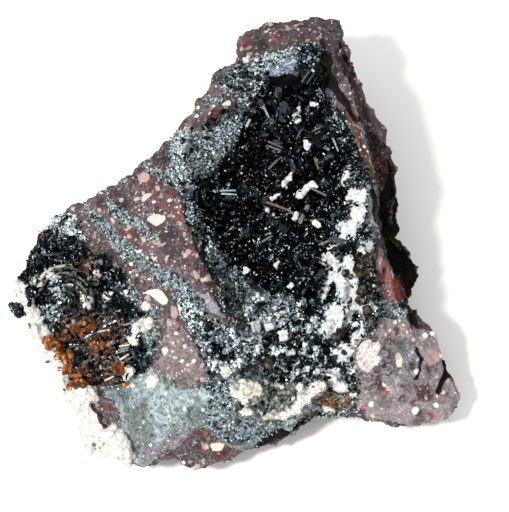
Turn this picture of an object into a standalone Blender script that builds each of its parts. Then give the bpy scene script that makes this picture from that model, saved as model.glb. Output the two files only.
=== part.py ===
"""A hematite specimen on its host rock, resting on its broken flat underside.

One piece of dark volcanic rock carries two hollows lined with hematite blades, and later
crusts of a white mineral. The crusts are separate pieces that sit on the rock with a hair
gap. Lengths below are in millimetres and are scaled to metres when the meshes are written.
X runs across the specimen, Y runs from its low front lip to its high back knob, Z is up.
The outline spans 75 mm by 79 mm, and the crest around the vug stands about 26 mm high.
"""

import math

import bmesh
import bpy
import numpy as np
from mathutils import Matrix, Vector, noise

MM = 0.001

# Driving dimensions of the whole specimen
CREST_HEIGHT = 24.6
UNDERCUT = 0.10
LOWEST_TOP = 3.5
WORN_EDGE = 0.5

# Relief of the bare rock: the height of each kind and how far apart its swells stand
LARGE_CHIPS = (1.1, 8.0)
SMALL_CHIPS = (0.55, 4.0)
SWELLS = (0.40, 4.5)

# The hair gaps that the crusts keep to the rock below, the wall beside and each other
SEAT_LIFT = 0.45
SEAT_WIDENING = 0.012
LUMP_GAP = 0.45

# The vug, the side hollow, and the cleft behind the vug's right wall with its outer ledge
VUG_DEPTH = 9.2
SIDE_HOLLOW_DEPTH = 4.2
CLEFT_DEPTH = 5.0
CLEFT_WIDTH = 2.4
LEDGE_HEIGHT = 16.5

# Hematite crusts: their thickness, their large blades, the spacing of their ground, and how
# far a blade's middle stands above it as a share of the blade's width
VUG_CRUST = 1.3
SIDE_CRUST = 1.1
VUG_BLADES = 56
VUG_BLADE_WIDTHS = (2.4, 4.2)
SIDE_BLADES = 15
SIDE_BLADE_WIDTHS = (2.0, 3.4)
CRUST_GRID = 2.8
BLADE_RISE = 0.22

# White crusts: their lumps, how far those stand apart, and how far they stray from their line,
# inside the specimen and along its edge
LUMP_RADIUS = 1.25
LUMP_SPACING = 0.8
LUMP_STRAY = 0.7
EDGE_STRAY = 0.3
LUMP_VOXEL = 0.45

# Faces left in each solid after its fine form is thinned, and how nearly flat two faces of a
# crust lie when they are made one
ROCK_FACES = 2790
DRUSE_FACES = 280
FRONT_FACES = 160
CREAM_FACES = 200
KNOB_FACES = 90
FLAT_ENOUGH = math.radians(2.0)

# The specimen's outline seen from above, clockwise from the left end of the back knob.
# The radius between these points runs straight, as the rock's broken edge does.
OUTLINE = (
    (-0.1, 30.0), (0.7, 34.2), (3.2, 35.2), (6.1, 37.2), (9.4, 38.2), (11.4, 37.3),
    (13.7, 38.8), (15.3, 38.2), (16.5, 39.4), (18.1, 39.1), (18.5, 37.1), (20.0, 32.9),
    (19.7, 31.0), (21.7, 27.0), (24.0, 21.2), (25.9, 19.8), (26.2, 18.1), (25.8, 16.8),
    (27.7, 10.1), (27.2, 7.4), (27.3, 3.2), (26.8, 1.1), (28.5, -0.8), (30.0, -3.7),
    (30.8, -5.0), (30.4, -7.2), (29.1, -9.9), (30.7, -13.6), (32.8, -16.1), (34.6, -21.4),
    (35.2, -23.7), (37.4, -25.4), (37.4, -28.0), (35.5, -30.8), (31.0, -31.8),
    (27.4, -32.0), (21.2, -30.8), (16.3, -30.3), (13.5, -30.6), (9.7, -33.6),
    (6.6, -35.1), (0.9, -36.7), (-2.2, -38.4), (-7.4, -39.4), (-9.8, -38.2),
    (-14.4, -39.1), (-19.1, -37.7), (-24.7, -35.3), (-26.1, -33.9), (-25.7, -30.1),
    (-27.3, -28.9), (-28.0, -25.6), (-31.3, -21.0), (-33.7, -16.5), (-35.0, -14.0),
    (-37.5, -12.2), (-37.0, -10.6), (-36.9, -8.4), (-36.0, -5.4), (-34.7, -4.0),
    (-33.7, -1.5), (-32.7, 0.2), (-30.7, 2.7), (-28.2, 3.2), (-24.4, 5.1),
    (-21.3, 6.9), (-17.7, 9.2), (-13.3, 13.0), (-11.1, 15.5), (-7.8, 19.5),
    (-7.5, 21.0), (-3.8, 25.1), (-2.6, 27.4),
)
MIDDLE = (-1.0, -4.0)

# The vug: its sharp rim and, well inside it, the edge of its deepest floor
VUG_RIM = (
    (4.4, 24.6), (9.0, 25.2), (13.7, 27.1), (15.7, 23.9), (18.1, 17.4), (19.1, 11.2),
    (21.6, 3.5), (23.1, -3.3), (23.8, -9.9), (24.1, -16.9), (22.0, -22.2), (18.0, -27.0),
    (13.0, -28.6), (7.2, -28.6), (1.6, -26.5), (-1.2, -22.0), (-3.7, -15.4), (-6.5, -7.5),
    (-9.3, -0.1), (-11.1, 6.7), (-9.6, 13.4), (-5.1, 16.6), (-1.8, 20.3), (0.7, 22.9),
)
VUG_FLOOR = (
    (5.6, 22.6), (10.9, 23.0), (13.9, 20.4), (16.2, 14.4), (16.2, 6.9), (14.8, 0.5),
    (13.1, -5.9), (11.4, -12.6), (8.1, -16.1), (3.2, -15.4), (-0.1, -10.9), (-2.6, -5.0),
    (-3.5, 1.4), (-1.3, 8.8), (1.6, 16.3),
)

# The side hollow on the left, drawn the same way
SIDE_RIM = (
    (-31.3, -1.4), (-26.7, -1.3), (-22.4, -3.8), (-18.6, -7.2), (-16.4, -11.3),
    (-14.2, -15.5), (-12.2, -21.0), (-13.9, -25.9), (-18.8, -27.7), (-25.4, -26.3),
    (-29.2, -22.1), (-32.4, -16.8), (-35.2, -10.8), (-34.7, -5.7), (-32.7, -2.8),
)
SIDE_FLOOR = (
    (-30.4, -4.2), (-25.3, -4.1), (-21.3, -6.9), (-19.2, -11.4), (-17.8, -16.3),
    (-18.2, -21.3), (-22.4, -22.6), (-27.1, -20.0), (-30.9, -14.6), (-33.1, -10.1),
    (-32.5, -6.0),
)

# The cleft runs down behind the vug's right wall and fades out at its two ends
CLEFT_LINE = (
    (14.2, 31.5), (16.8, 29.0), (17.9, 24.7), (19.8, 19.8), (21.2, 14.0), (22.8, 7.6),
    (24.4, 0.0), (25.4, -7.6), (25.3, -13.0), (24.6, -17.0),
)
CLEFT_FADE_BACK = (27.0, 32.5)
CLEFT_FADE_FRONT = (-9.0, -16.0)

# Lines that the white crusts follow over the rock, seen from above
DRUSE_LINES = (
    (
        (18.5, 4.9), (20.2, 5.4), (20.6, 2.4), (19.9, -0.1), (19.5, -2.5), (20.6, -5.2),
        (21.4, -8.0), (21.3, -11.6), (21.4, -14.9), (21.2, -17.4), (19.2, -20.4), (16.3, -23.7),
    ),
    (
        (19.9, -0.1), (18.0, -0.4), (16.9, -2.8), (15.7, -5.7), (14.8, -8.5), (14.1, -11.5),
        (14.1, -14.5), (14.6, -17.4), (15.7, -20.8), (16.3, -23.7),
    ),
)
FRONT_LINES = (
    (
        (-1.2, -26.4), (0.1, -28.1), (1.3, -29.4), (2.1, -30.9), (3.7, -31.6), (5.6, -32.1),
        (7.9, -31.7), (10.0, -30.5), (11.3, -29.0), (12.4, -27.5), (14.0, -26.8),
    ),
)
CREAM_LINES = (
    (
        (-35.9, -8.5), (-35.9, -9.7), (-34.9, -11.0), (-34.0, -12.3), (-33.1, -13.9), (-32.5, -15.2),
        (-31.8, -16.7), (-31.1, -18.3), (-30.1, -20.3), (-29.2, -21.7), (-28.5, -22.9), (-27.7, -24.2),
        (-26.8, -25.5), (-25.6, -26.6), (-24.0, -27.2),
    ),
    (
        (-26.8, -25.5), (-26.5, -27.1), (-23.8, -27.5), (-25.7, -28.8), (-23.7, -29.8), (-24.5, -31.2),
        (-22.9, -32.0), (-24.5, -33.2), (-22.4, -34.1), (-23.4, -34.8), (-21.2, -35.5), (-19.4, -34.2),
        (-17.9, -35.5), (-20.1, -36.2), (-17.6, -36.9),
    ),
)
KNOB_LINES = (
    (
        (22.1, -22.0), (21.2, -23.6), (22.9, -23.2), (22.0, -24.9), (23.4, -25.2),
        (21.2, -26.0), (22.6, -26.6),
    ),
)

# Low knobs and swells on the upper surface: x, y, radius, height
LUMPS = (
    (3.0, 33.5, 3.4, 0.9), (11.5, 35.0, 3.8, 1.1), (17.0, 36.4, 3.0, 1.3),
    (9.0, 26.6, 4.2, 0.9), (24.0, 20.5, 3.2, 1.0), (26.0, 12.0, 3.4, 1.4),
    (29.0, -4.6, 3.0, 2.4), (-14.5, 9.5, 4.0, 0.8), (-24.0, 2.2, 3.4, 0.9),
    (-30.0, 0.4, 3.0, 0.7), (-10.5, -10.0, 4.4, 0.7), (-6.5, -24.0, 4.2, 0.8),
    (30.5, -20.5, 3.6, 1.2), (33.8, -26.4, 3.4, 1.0), (25.5, -27.0, 3.8, 1.3),
    (-8.5, -33.5, 3.6, 0.8), (-19.5, -33.0, 4.0, 1.2), (-0.5, -31.0, 3.6, 0.7),
    (-25.3, -10.6, 5.2, 2.6),
)


def ramp(value, start, end):
    """0 at start and 1 at end with a soft step between them."""
    t = np.clip((value - start) / (end - start), 0.0, 1.0)
    return t * t * (3.0 - 2.0 * t)


def distance_to_line(x, y, points, closed=True):
    """The shortest distance from each plan point to a line through the given points."""
    following = points[1:] + points[:1] if closed else points[1:]
    nearest = np.full(np.shape(x), np.inf)
    for (ax, ay), (bx, by) in zip(points, following):
        dx, dy = bx - ax, by - ay
        t = np.clip(((x - ax) * dx + (y - ay) * dy) / (dx * dx + dy * dy), 0.0, 1.0)
        nearest = np.minimum(nearest, np.hypot(x - ax - t * dx, y - ay - t * dy))
    return nearest


def inside(x, y, points):
    """True where a plan point lies within a closed outline, by counting crossings."""
    crossings = np.zeros(np.shape(x), int)
    for (ax, ay), (bx, by) in zip(points, points[1:] + points[:1]):
        spans = (ay > y) != (by > y)
        rise = by - ay if by != ay else 1e-9
        crossings += spans & (x < ax + (y - ay) * (bx - ax) / rise)
    return crossings % 2 == 1


def signed_inset(x, y, points):
    """How far a plan point lies inside a closed outline. It is negative outside."""
    away = distance_to_line(x, y, points)
    return np.where(inside(x, y, points), away, -away)


def bowl(x, y, rim, floor):
    """0 at a hollow's rim and 1 on its floor, with a wall that spans the gap between them."""
    from_rim = np.maximum(signed_inset(x, y, rim), 0.0)
    from_floor = np.maximum(-signed_inset(x, y, floor), 0.0)
    return ramp(from_rim / (from_rim + from_floor + 1e-6), 0.0, 0.95)


def lumpy(x, y, z, scale, seed):
    """Smooth noise of about one swell every `scale` millimetres, from -1 to 1."""
    offset = 37.0 * seed
    flat = zip(np.ravel(x), np.ravel(y), np.ravel(z))
    values = [noise.noise(Vector((a + offset, b - offset, c + offset)) / scale) for a, b, c in flat]
    return np.reshape(values, np.shape(x))


def chipped(x, y, scale, seed):
    """Flat, tilted chips meeting along creases, from about -1 to 1."""
    heights = []
    for a, b in zip(np.ravel(x), np.ravel(y)):
        spot = Vector((a / scale + 11.0 * seed, b / scale, 3.0 * seed))
        _, cells = noise.voronoi(spot)
        tilt = noise.cell_vector(cells[0] * 7.0)
        heights.append((spot - cells[0]).dot(tilt - Vector((0.5, 0.5, 0.5))) * 2.0)
    return np.reshape(heights, np.shape(x))


def broken_slopes(x, y):
    """The upper surface as the lowest of its fracture planes, joined with slightly worn edges."""
    left_front = -(x + y) / math.sqrt(2.0)
    front = 0.38 * x - 0.92 * y
    back_left = -0.66 * x + 0.75 * y
    planes = (
        CREST_HEIGHT + 0.03 * y + 0.02 * x,
        CREST_HEIGHT + 0.2 + 0.27 * (y + 2.0),
        CREST_HEIGHT + 0.45 * (x + 8.0),
        15.5 - 0.52 * (left_front - 23.5),
        19.5 - 0.85 * (x - 22.0) + 0.15 * (y + 20.0),
        np.maximum(18.0 - (front - 22.7), 14.0 + 1.5 * (y + 26.0)),
        25.4 - 0.60 * (y - 26.0),
        22.5 - 0.80 * (back_left - 16.5),
    )
    return -WORN_EDGE * np.log(sum(np.exp(-plane / WORN_EDGE) for plane in planes))


def cleft_and_ledge(x, y, height):
    """Drops the ground outside the cleft to the ledge, and cuts the cleft along the step."""
    left_of_cleft = 12.0
    block = CLEFT_LINE + ((0.0, -17.0), (0.0, 31.5))
    outside = -signed_inset(x, y, block)
    back_end = ramp(y, CLEFT_FADE_BACK[1], CLEFT_FADE_BACK[0])
    front_end = ramp(y, CLEFT_FADE_FRONT[1], CLEFT_FADE_FRONT[0])
    along = np.where(x > left_of_cleft, back_end * front_end, 0.0)
    near = distance_to_line(x, y, CLEFT_LINE, closed=False)
    ledge = LEDGE_HEIGHT + 0.40 * np.minimum(y - 12.0, 0.0) - 0.45 * near
    step = ramp(outside, 0.0, CLEFT_WIDTH) * along
    lowered = height + (np.minimum(ledge, height) - height) * step
    trench = np.exp(-(((outside - 0.6 * CLEFT_WIDTH) / (0.5 * CLEFT_WIDTH)) ** 2))
    return lowered - CLEFT_DEPTH * trench * along


def upper_surface(x, y):
    """Height of the host rock's upper side above a plan point."""
    height = cleft_and_ledge(x, y, broken_slopes(x, y))
    vug = bowl(x, y, VUG_RIM, VUG_FLOOR)
    side = bowl(x, y, SIDE_RIM, SIDE_FLOOR)
    height = height - VUG_DEPTH * vug - SIDE_HOLLOW_DEPTH * side
    for lump_x, lump_y, radius, rise in LUMPS:
        height = height + rise * np.exp(-((x - lump_x) ** 2 + (y - lump_y) ** 2) / radius**2)
    under_crust = np.maximum(signed_inset(x, y, VUG_RIM), signed_inset(x, y, SIDE_RIM))
    bare = ramp(under_crust, 3.0, 0.5)
    relief = LARGE_CHIPS[0] * chipped(x, y, LARGE_CHIPS[1], 1)
    relief += SMALL_CHIPS[0] * chipped(x, y, SMALL_CHIPS[1], 4)
    relief += SWELLS[0] * lumpy(x, y, 0 * x, SWELLS[1], 2)
    return np.maximum(height + relief * bare, LOWEST_TOP)


def outline_radius(angle):
    """Distance from the middle to the outline in each direction, straight between its points."""
    points = np.array(OUTLINE) - np.array(MIDDLE)
    ends = np.roll(points, -1, axis=0)
    radius = np.zeros(np.shape(angle))
    direction = np.stack([np.cos(angle), np.sin(angle)], -1)
    for (ax, ay), (bx, by) in zip(points, ends):
        dx, dy = bx - ax, by - ay
        cross = direction[..., 0] * dy - direction[..., 1] * dx
        safe = np.where(np.abs(cross) < 1e-9, 1e-9, cross)
        reach = (ax * dy - ay * dx) / safe
        share = (ax * direction[..., 1] - ay * direction[..., 0]) / safe
        hit = (reach > 0.0) & (share >= -1e-9) & (share <= 1.0 + 1e-9)
        radius = np.where(hit & (reach > radius), reach, radius)
    return radius


def wall_inset(angle, radius, wall):
    """How far the broken wall stands in from the outline, as a share of its radius.

    wall runs from 0 at the upper edge to 1 at the foot. The wall leans in, swells and hollows
    slowly, and breaks into flat chips about 8 mm across.
    """
    ring_x, ring_y = radius * np.cos(angle), radius * np.sin(angle)
    swell = lumpy(ring_x, ring_y, 9.0 * wall, 12.0, 8)
    rough = lumpy(ring_x, ring_y, 14.0 * wall, 6.0, 5)
    chips = chipped(radius * angle, 15.0 * wall, 8.0, 6)
    below_edge = ramp(wall, 0.0, 0.3)
    lean = UNDERCUT * (1.0 + 0.6 * swell) * wall**1.4
    return lean + (0.030 * rough + 0.045 * (chips + 0.35)) * below_edge


def rock_surface(angle, turn):
    """The closed rock as a sheet wrapped from the middle of its top to the middle of its base.

    turn runs from 0 at the top to 1 underneath: out over the upper surface to the outline,
    down the undercut wall, and in again along the flat base.
    """
    edge_turn, foot_turn = 0.50, 0.76
    radius = outline_radius(angle)
    wall = np.clip((turn - edge_turn) / (foot_turn - edge_turn), 0.0, 1.0)
    on_top = np.clip(turn / edge_turn, 0.0, 1.0) ** 0.8
    under = np.clip((1.0 - turn) / (1.0 - foot_turn), 0.0, 1.0)
    share = np.where(turn <= edge_turn, on_top, (1.0 - wall_inset(angle, radius, wall)) * under)
    x = MIDDLE[0] + share * radius * np.cos(angle)
    y = MIDDLE[1] + share * radius * np.sin(angle)
    edge = upper_surface(MIDDLE[0] + radius * np.cos(angle), MIDDLE[1] + radius * np.sin(angle))
    z = np.where(turn <= edge_turn, upper_surface(x, y), edge * (1.0 - wall))
    return np.stack([x, y, z], -1)


def new_object(name, mesh, material, collection):
    """Puts a mesh in the scene as one named piece with its own material."""
    piece = bpy.data.objects.new(name, mesh)
    collection.objects.link(piece)
    if material:
        mesh.materials.clear()
        mesh.materials.append(material)
    return piece


def new_helper(name, mesh, collection):
    """Puts a mesh in the scene as a cutter or an addition, which isn't a piece itself."""
    helper = new_object(name, mesh, None, collection)
    helper.hide_render = True
    helper.display_type = "WIRE"
    return helper


def finish_material(name, colour, roughness, metallic=0.0):
    """A plain Principled finish in the piece's main colour."""
    material = bpy.data.materials.new(name)
    material.use_nodes = True
    shader = material.node_tree.nodes["Principled BSDF"]
    shader.inputs["Base Color"].default_value = (*colour, 1.0)
    shader.inputs["Roughness"].default_value = roughness
    shader.inputs["Metallic"].default_value = metallic
    return material


def evaluated_copy(piece):
    """The piece's mesh with its modifiers worked out."""
    graph = bpy.context.evaluated_depsgraph_get()
    graph.update()
    return bpy.data.meshes.new_from_object(piece.evaluated_get(graph))


def settle(piece, mesh):
    """Gives the piece its worked-out mesh in place of its modifiers."""
    piece.modifiers.clear()
    piece.data = mesh


def thin(piece, faces):
    """Thins a fine mesh to about this many faces, keeping its creases."""
    present = sum(len(face.vertices) - 2 for face in piece.data.polygons)
    modifier = piece.modifiers.new("thin to main facets", "DECIMATE")
    modifier.ratio = min(1.0, faces / present)
    settle(piece, evaluated_copy(piece))


def largest_body(mesh):
    """Keeps only the biggest connected body of a mesh, dropping crumbs that a cut leaves."""
    shape = bmesh.new()
    shape.from_mesh(mesh)
    bmesh.ops.remove_doubles(shape, verts=shape.verts, dist=2e-8)
    bmesh.ops.dissolve_degenerate(shape, edges=shape.edges, dist=2e-8)
    unseen, bodies = set(shape.faces), []
    while unseen:
        stack = [unseen.pop()]
        body = set(stack)
        while stack:
            joined = [edge.link_faces for edge in stack.pop().edges if len(edge.link_faces) == 2]
            for pair in joined:
                for face in pair:
                    if face in unseen:
                        unseen.remove(face)
                        body.add(face)
                        stack.append(face)
        bodies.append(body)
    keep = max(bodies, key=len)
    crumbs = [face for face in shape.faces if face not in keep]
    bmesh.ops.delete(shape, geom=crumbs, context="FACES")
    bmesh.ops.dissolve_limit(shape, angle_limit=FLAT_ENOUGH, verts=shape.verts, edges=shape.edges)
    bmesh.ops.triangulate(shape, faces=shape.faces)
    shape.to_mesh(mesh)
    shape.free()
    return mesh


def mesh_of(shape, name):
    """Writes a bmesh drawn in millimetres as a mesh in metres."""
    bmesh.ops.scale(shape, vec=(MM, MM, MM), verts=shape.verts)
    mesh = bpy.data.meshes.new(name)
    shape.to_mesh(mesh)
    shape.free()
    return mesh


def boolean(piece, other, operation):
    """Joins or cuts with another closed mesh.

    These crusts meet the rock at grazing angles, where the EXACT solver drops whole bodies.
    """
    modifier = piece.modifiers.new(operation.lower(), "BOOLEAN")
    modifier.object = other
    modifier.operation = operation
    modifier.solver = "MANIFOLD"
    settle(piece, evaluated_copy(piece))


def make_seat(rock, lift, widening, collection):
    """A copy of the rock lifted by a gap and widened by a share, to trim the crusts on it.

    The rock's upper side hides nothing below it, so a lifted copy clears it everywhere.
    A widened copy clears the outer wall in the same way.
    """
    middle = Matrix.Translation((MIDDLE[0] * MM, MIDDLE[1] * MM, 0.0))
    wider = Matrix.Diagonal((1.0 + widening, 1.0 + widening, 1.0, 1.0))
    raised = Matrix.Translation((0.0, 0.0, lift * MM))
    cutter = new_helper("rock_seat", rock.data.copy(), collection)
    cutter.data.transform(raised @ middle @ wider @ middle.inverted())
    return cutter


def trim(piece, cutters):
    """Cuts a crust where it would meet its neighbours, and keeps it as one body."""
    for cutter in cutters:
        boolean(piece, cutter, "DIFFERENCE")
    settle(piece, largest_body(piece.data))


def make_host_rock(collection):
    """The volcanic host rock, wrapped from a UV sphere onto its broken form."""
    shape = bmesh.new()
    bmesh.ops.create_uvsphere(shape, u_segments=168, v_segments=96, radius=1.0)
    start = np.array([vertex.co for vertex in shape.verts])
    angle = np.arctan2(start[:, 1], start[:, 0])
    turn = np.arccos(np.clip(start[:, 2], -1.0, 1.0)) / math.pi
    for vertex, place in zip(shape.verts, rock_surface(angle, turn)):
        vertex.co = place
    brown = finish_material("purple rock", (0.17, 0.11, 0.11), 0.85)
    rock = new_object("host_rock", mesh_of(shape, "host_rock"), brown, collection)
    thin(rock, ROCK_FACES)
    flatten_base(rock.data)
    return rock


def flatten_base(mesh):
    """Puts the underside, which thinning moves by a hair, exactly on the ground."""
    hair = 0.03 * MM
    for vertex in mesh.vertices:
        if vertex.co.z < hair:
            vertex.co.z = 0.0


def crust_tablet(rim, thickness):
    """A grid over a hollow whose top follows the rock one crust higher, closed far below it."""
    sunk, buried, margin, reach = 2.4, 3.4, 4.0, 1.9
    xs, ys = [p[0] for p in rim], [p[1] for p in rim]
    width, length = max(xs) - min(xs) + margin, max(ys) - min(ys) + margin
    middle = ((max(xs) + min(xs)) / 2.0, (max(ys) + min(ys)) / 2.0)
    across, along = round(width / CRUST_GRID), round(length / CRUST_GRID)
    shape = bmesh.new()
    bmesh.ops.create_grid(shape, x_segments=across, y_segments=along, size=0.5)
    flat = np.array([vertex.co for vertex in shape.verts])
    x, y = middle[0] + flat[:, 0] * width, middle[1] + flat[:, 1] * length
    cover = (thickness + sunk) * ramp(signed_inset(x, y, rim), -1.6, 0.9) - sunk
    relief = 0.6 * chipped(x, y, 6.0, 7) + 0.35 * lumpy(x, y, 0 * x, 3.2, 9)
    z = upper_surface(x, y) + cover + relief
    for vertex, place in zip(shape.verts, np.stack([x, y, z], -1)):
        vertex.co = place
    beyond = signed_inset(x, y, rim) < -reach
    spare = [vertex for vertex, outside in zip(shape.verts, beyond) if outside]
    bmesh.ops.delete(shape, geom=spare, context="VERTS")
    lowered = bmesh.ops.extrude_face_region(shape, geom=shape.faces[:])
    for item in lowered["geom"]:
        if isinstance(item, bmesh.types.BMVert):
            item.co.z = float(upper_surface(item.co.x, item.co.y)) - buried
    bmesh.ops.recalc_face_normals(shape, faces=shape.faces)
    return shape


def blade_mesh(middle, width, aspect, thickness, turn):
    """One six-sided hematite plate, longer than it is wide by its aspect."""
    stretch = Matrix.Diagonal((aspect, 1.0, 1.0, 1.0))
    frame = Matrix.Translation(middle) @ turn.to_matrix().to_4x4() @ stretch
    half = width / 2.0
    shape = bmesh.new()
    bmesh.ops.create_cone(
        shape, cap_ends=True, segments=6, radius1=half, radius2=half, depth=thickness, matrix=frame
    )
    return mesh_of(shape, "blade")


def scattered_blades(rim, count, crust, seed, widths):
    """Hematite plates standing at all angles on a crust, spread evenly within its rim."""
    picker = np.random.default_rng(seed)
    xs, ys = [p[0] for p in rim], [p[1] for p in rim]
    tries = picker.uniform((min(xs), min(ys)), (max(xs), max(ys)), (6000, 2))
    tries = tries[signed_inset(tries[:, 0], tries[:, 1], rim) > 0.8]
    apart = 0.62 * math.sqrt((max(xs) - min(xs)) * (max(ys) - min(ys)) / count)
    kept = []
    for spot in tries:
        if all(math.dist(spot, other) > apart for other in kept):
            kept.append(spot)
    kept = np.array(kept[:count])
    heights = upper_surface(kept[:, 0], kept[:, 1]) + crust
    blades = []
    for (x, y), z in zip(kept, heights):
        width = picker.uniform(*widths)
        lean = Vector((picker.normal(), picker.normal(), 0.35 * picker.normal())).normalized()
        turn = lean.to_track_quat("Z", "Y")
        turn.rotate(Matrix.Rotation(picker.uniform(0.0, math.tau), 3, lean))
        aspect, thickness = picker.uniform(1.0, 1.5), picker.uniform(0.5, 0.8)
        middle = Vector((x, y, z + BLADE_RISE * width))
        blades.append(blade_mesh(middle, width, aspect, thickness, turn))
    return blades


def make_blade_crust(name, rim, thickness, blades, finish, gaps, collection, cutters):
    """A hematite lining with its large blades grown into one crust, trimmed to its gaps."""
    crust = new_object(name, mesh_of(crust_tablet(rim, thickness), name), finish, collection)
    for blade in blades:
        grown = new_helper("blade", blade, cutters)
        boolean(crust, grown, "UNION")
        bpy.data.objects.remove(grown)
    trim(crust, gaps)
    return crust


def lump_chain(shape, lines, seed, radius, spread=LUMP_STRAY):
    """Adds round lumps strung closely along lines over the rock."""
    picker = np.random.default_rng(seed)
    for line in lines:
        for (ax, ay), (bx, by) in zip(line, line[1:]):
            steps = max(1, round(math.dist((ax, ay), (bx, by)) / LUMP_SPACING))
            for share in np.arange(steps) / steps:
                stray = picker.normal(0.0, spread, 2)
                x, y = ax + (bx - ax) * share + stray[0], ay + (by - ay) * share + stray[1]
                size = radius * picker.uniform(0.75, 1.25)
                place = Matrix.Translation((x, y, float(upper_surface(x, y)) + 0.2 * size))
                bmesh.ops.create_icosphere(shape, subdivisions=2, radius=size, matrix=place)


def druse_lumps():
    """White druse on the right slope of the vug."""
    shape = bmesh.new()
    lump_chain(shape, DRUSE_LINES, 11, LUMP_RADIUS)
    return shape


def front_lumps():
    """Cream crystals along the low front lip of the vug."""
    shape = bmesh.new()
    lump_chain(shape, FRONT_LINES, 12, 1.15 * LUMP_RADIUS)
    return shape


def cream_lumps():
    """Cream coating along the left edge of the rock, broader at the front corner."""
    shape = bmesh.new()
    lump_chain(shape, CREAM_LINES, 13, 0.95 * LUMP_RADIUS, EDGE_STRAY)
    return shape


def knob_lumps():
    """Small pink and white rounded cluster at the right end of the vug's rim."""
    shape = bmesh.new()
    lump_chain(shape, KNOB_LINES, 15, 1.15 * LUMP_RADIUS)
    return shape


def melt(piece, faces):
    """Grows lumps together into one closed skin and thins it to its main form."""
    modifier = piece.modifiers.new("grow together", "REMESH")
    modifier.mode = "VOXEL"
    modifier.voxel_size = LUMP_VOXEL * MM
    settle(piece, evaluated_copy(piece))
    thin(piece, faces)
    settle(piece, largest_body(piece.data))


def make_gap(crust, collection):
    """A cutter one gap larger than a crust all round, for what the crust has grown into."""
    gap = new_helper(f"{crust.name}_gap", crust.data.copy(), collection)
    swell = gap.modifiers.new("gap", "DISPLACE")
    swell.direction = "NORMAL"
    swell.mid_level = 0.0
    swell.strength = LUMP_GAP * MM
    melt(gap, 3 * len(crust.data.polygons))
    return gap


def make_white_crust(name, shape, faces, finish, seats, collection, cutters):
    """A white crust trimmed to its seats, and the gap it keeps in the hematite grown round it."""
    crust = new_object(name, mesh_of(shape, name), finish, collection)
    melt(crust, faces)
    gap = make_gap(crust, cutters)
    trim(crust, seats)
    return crust, gap


def centre_over_origin(pieces):
    """Moves all the pieces together so that the middle of their common box is over the origin."""
    points = np.array([vertex.co for piece in pieces for vertex in piece.data.vertices])
    middle = (points.min(axis=0) + points.max(axis=0)) / 2.0
    for piece in pieces:
        piece.data.transform(Matrix.Translation((-middle[0], -middle[1], 0.0)))


def clear_scene():
    """Removes whatever the file opened with."""
    for thing in list(bpy.data.objects):
        bpy.data.objects.remove(thing)


def new_collection(name):
    """A collection in the scene."""
    collection = bpy.data.collections.new(name)
    bpy.context.scene.collection.children.link(collection)
    return collection


def main():
    clear_scene()
    specimen = new_collection("hematite specimen")
    cutters = new_collection("cutters")

    rock = make_host_rock(specimen)
    seat = make_seat(rock, SEAT_LIFT, 0.0, cutters)
    wall_seat = make_seat(rock, 0.0, SEAT_WIDENING, cutters)

    yellowish = finish_material("front cream crust", (0.78, 0.72, 0.58), 0.55)
    front, front_gap = make_white_crust(
        "front_white_crust", front_lumps(), FRONT_FACES, yellowish, [seat], specimen, cutters
    )
    cream_white = finish_material("side cream crust", (0.84, 0.79, 0.70), 0.6)
    cream, cream_gap = make_white_crust(
        "cream_side_crust", cream_lumps(), CREAM_FACES, cream_white, [seat, wall_seat], specimen, cutters
    )
    pink = finish_material("pink white knob", (0.80, 0.66, 0.63), 0.55)
    knob, knob_gap = make_white_crust(
        "pink_white_knob", knob_lumps(), KNOB_FACES, pink, [seat], specimen, cutters
    )
    white = finish_material("white druse", (0.82, 0.79, 0.74), 0.55)
    druse, druse_gap = make_white_crust(
        "white_druse_crust", druse_lumps(), DRUSE_FACES, white, [seat, knob_gap], specimen, cutters
    )

    black = finish_material("vug hematite", (0.012, 0.013, 0.014), 0.22, 0.9)
    vug_blades = scattered_blades(VUG_RIM, VUG_BLADES, VUG_CRUST, 4, VUG_BLADE_WIDTHS)
    vug_gaps = [seat, druse_gap, front_gap, knob_gap]
    vug = make_blade_crust(
        "vug_crystal_crust", VUG_RIM, VUG_CRUST, vug_blades, black, vug_gaps, specimen, cutters
    )
    stained = finish_material("stained hematite", (0.03, 0.022, 0.018), 0.35, 0.6)
    side_blades = scattered_blades(SIDE_RIM, SIDE_BLADES, SIDE_CRUST, 6, SIDE_BLADE_WIDTHS)
    side_gaps = [seat, cream_gap]
    side = make_blade_crust(
        "side_crystal_crust", SIDE_RIM, SIDE_CRUST, side_blades, stained, side_gaps, specimen, cutters
    )
    centre_over_origin([rock, druse, front, cream, knob, vug, side])


main()
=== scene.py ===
"""Looks of a hematite specimen: a broken lump of purple-brown volcanic rock whose hollows are
lined with black hematite blades, with later white, cream, pink and orange-stained crusts.

Lengths inside the sections are in millimetres, and new_piece writes them in metres.
"""

import math

import bmesh
import bpy
import numpy as np
from mathutils import Matrix, Vector
from mathutils.bvhtree import BVHTree


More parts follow.
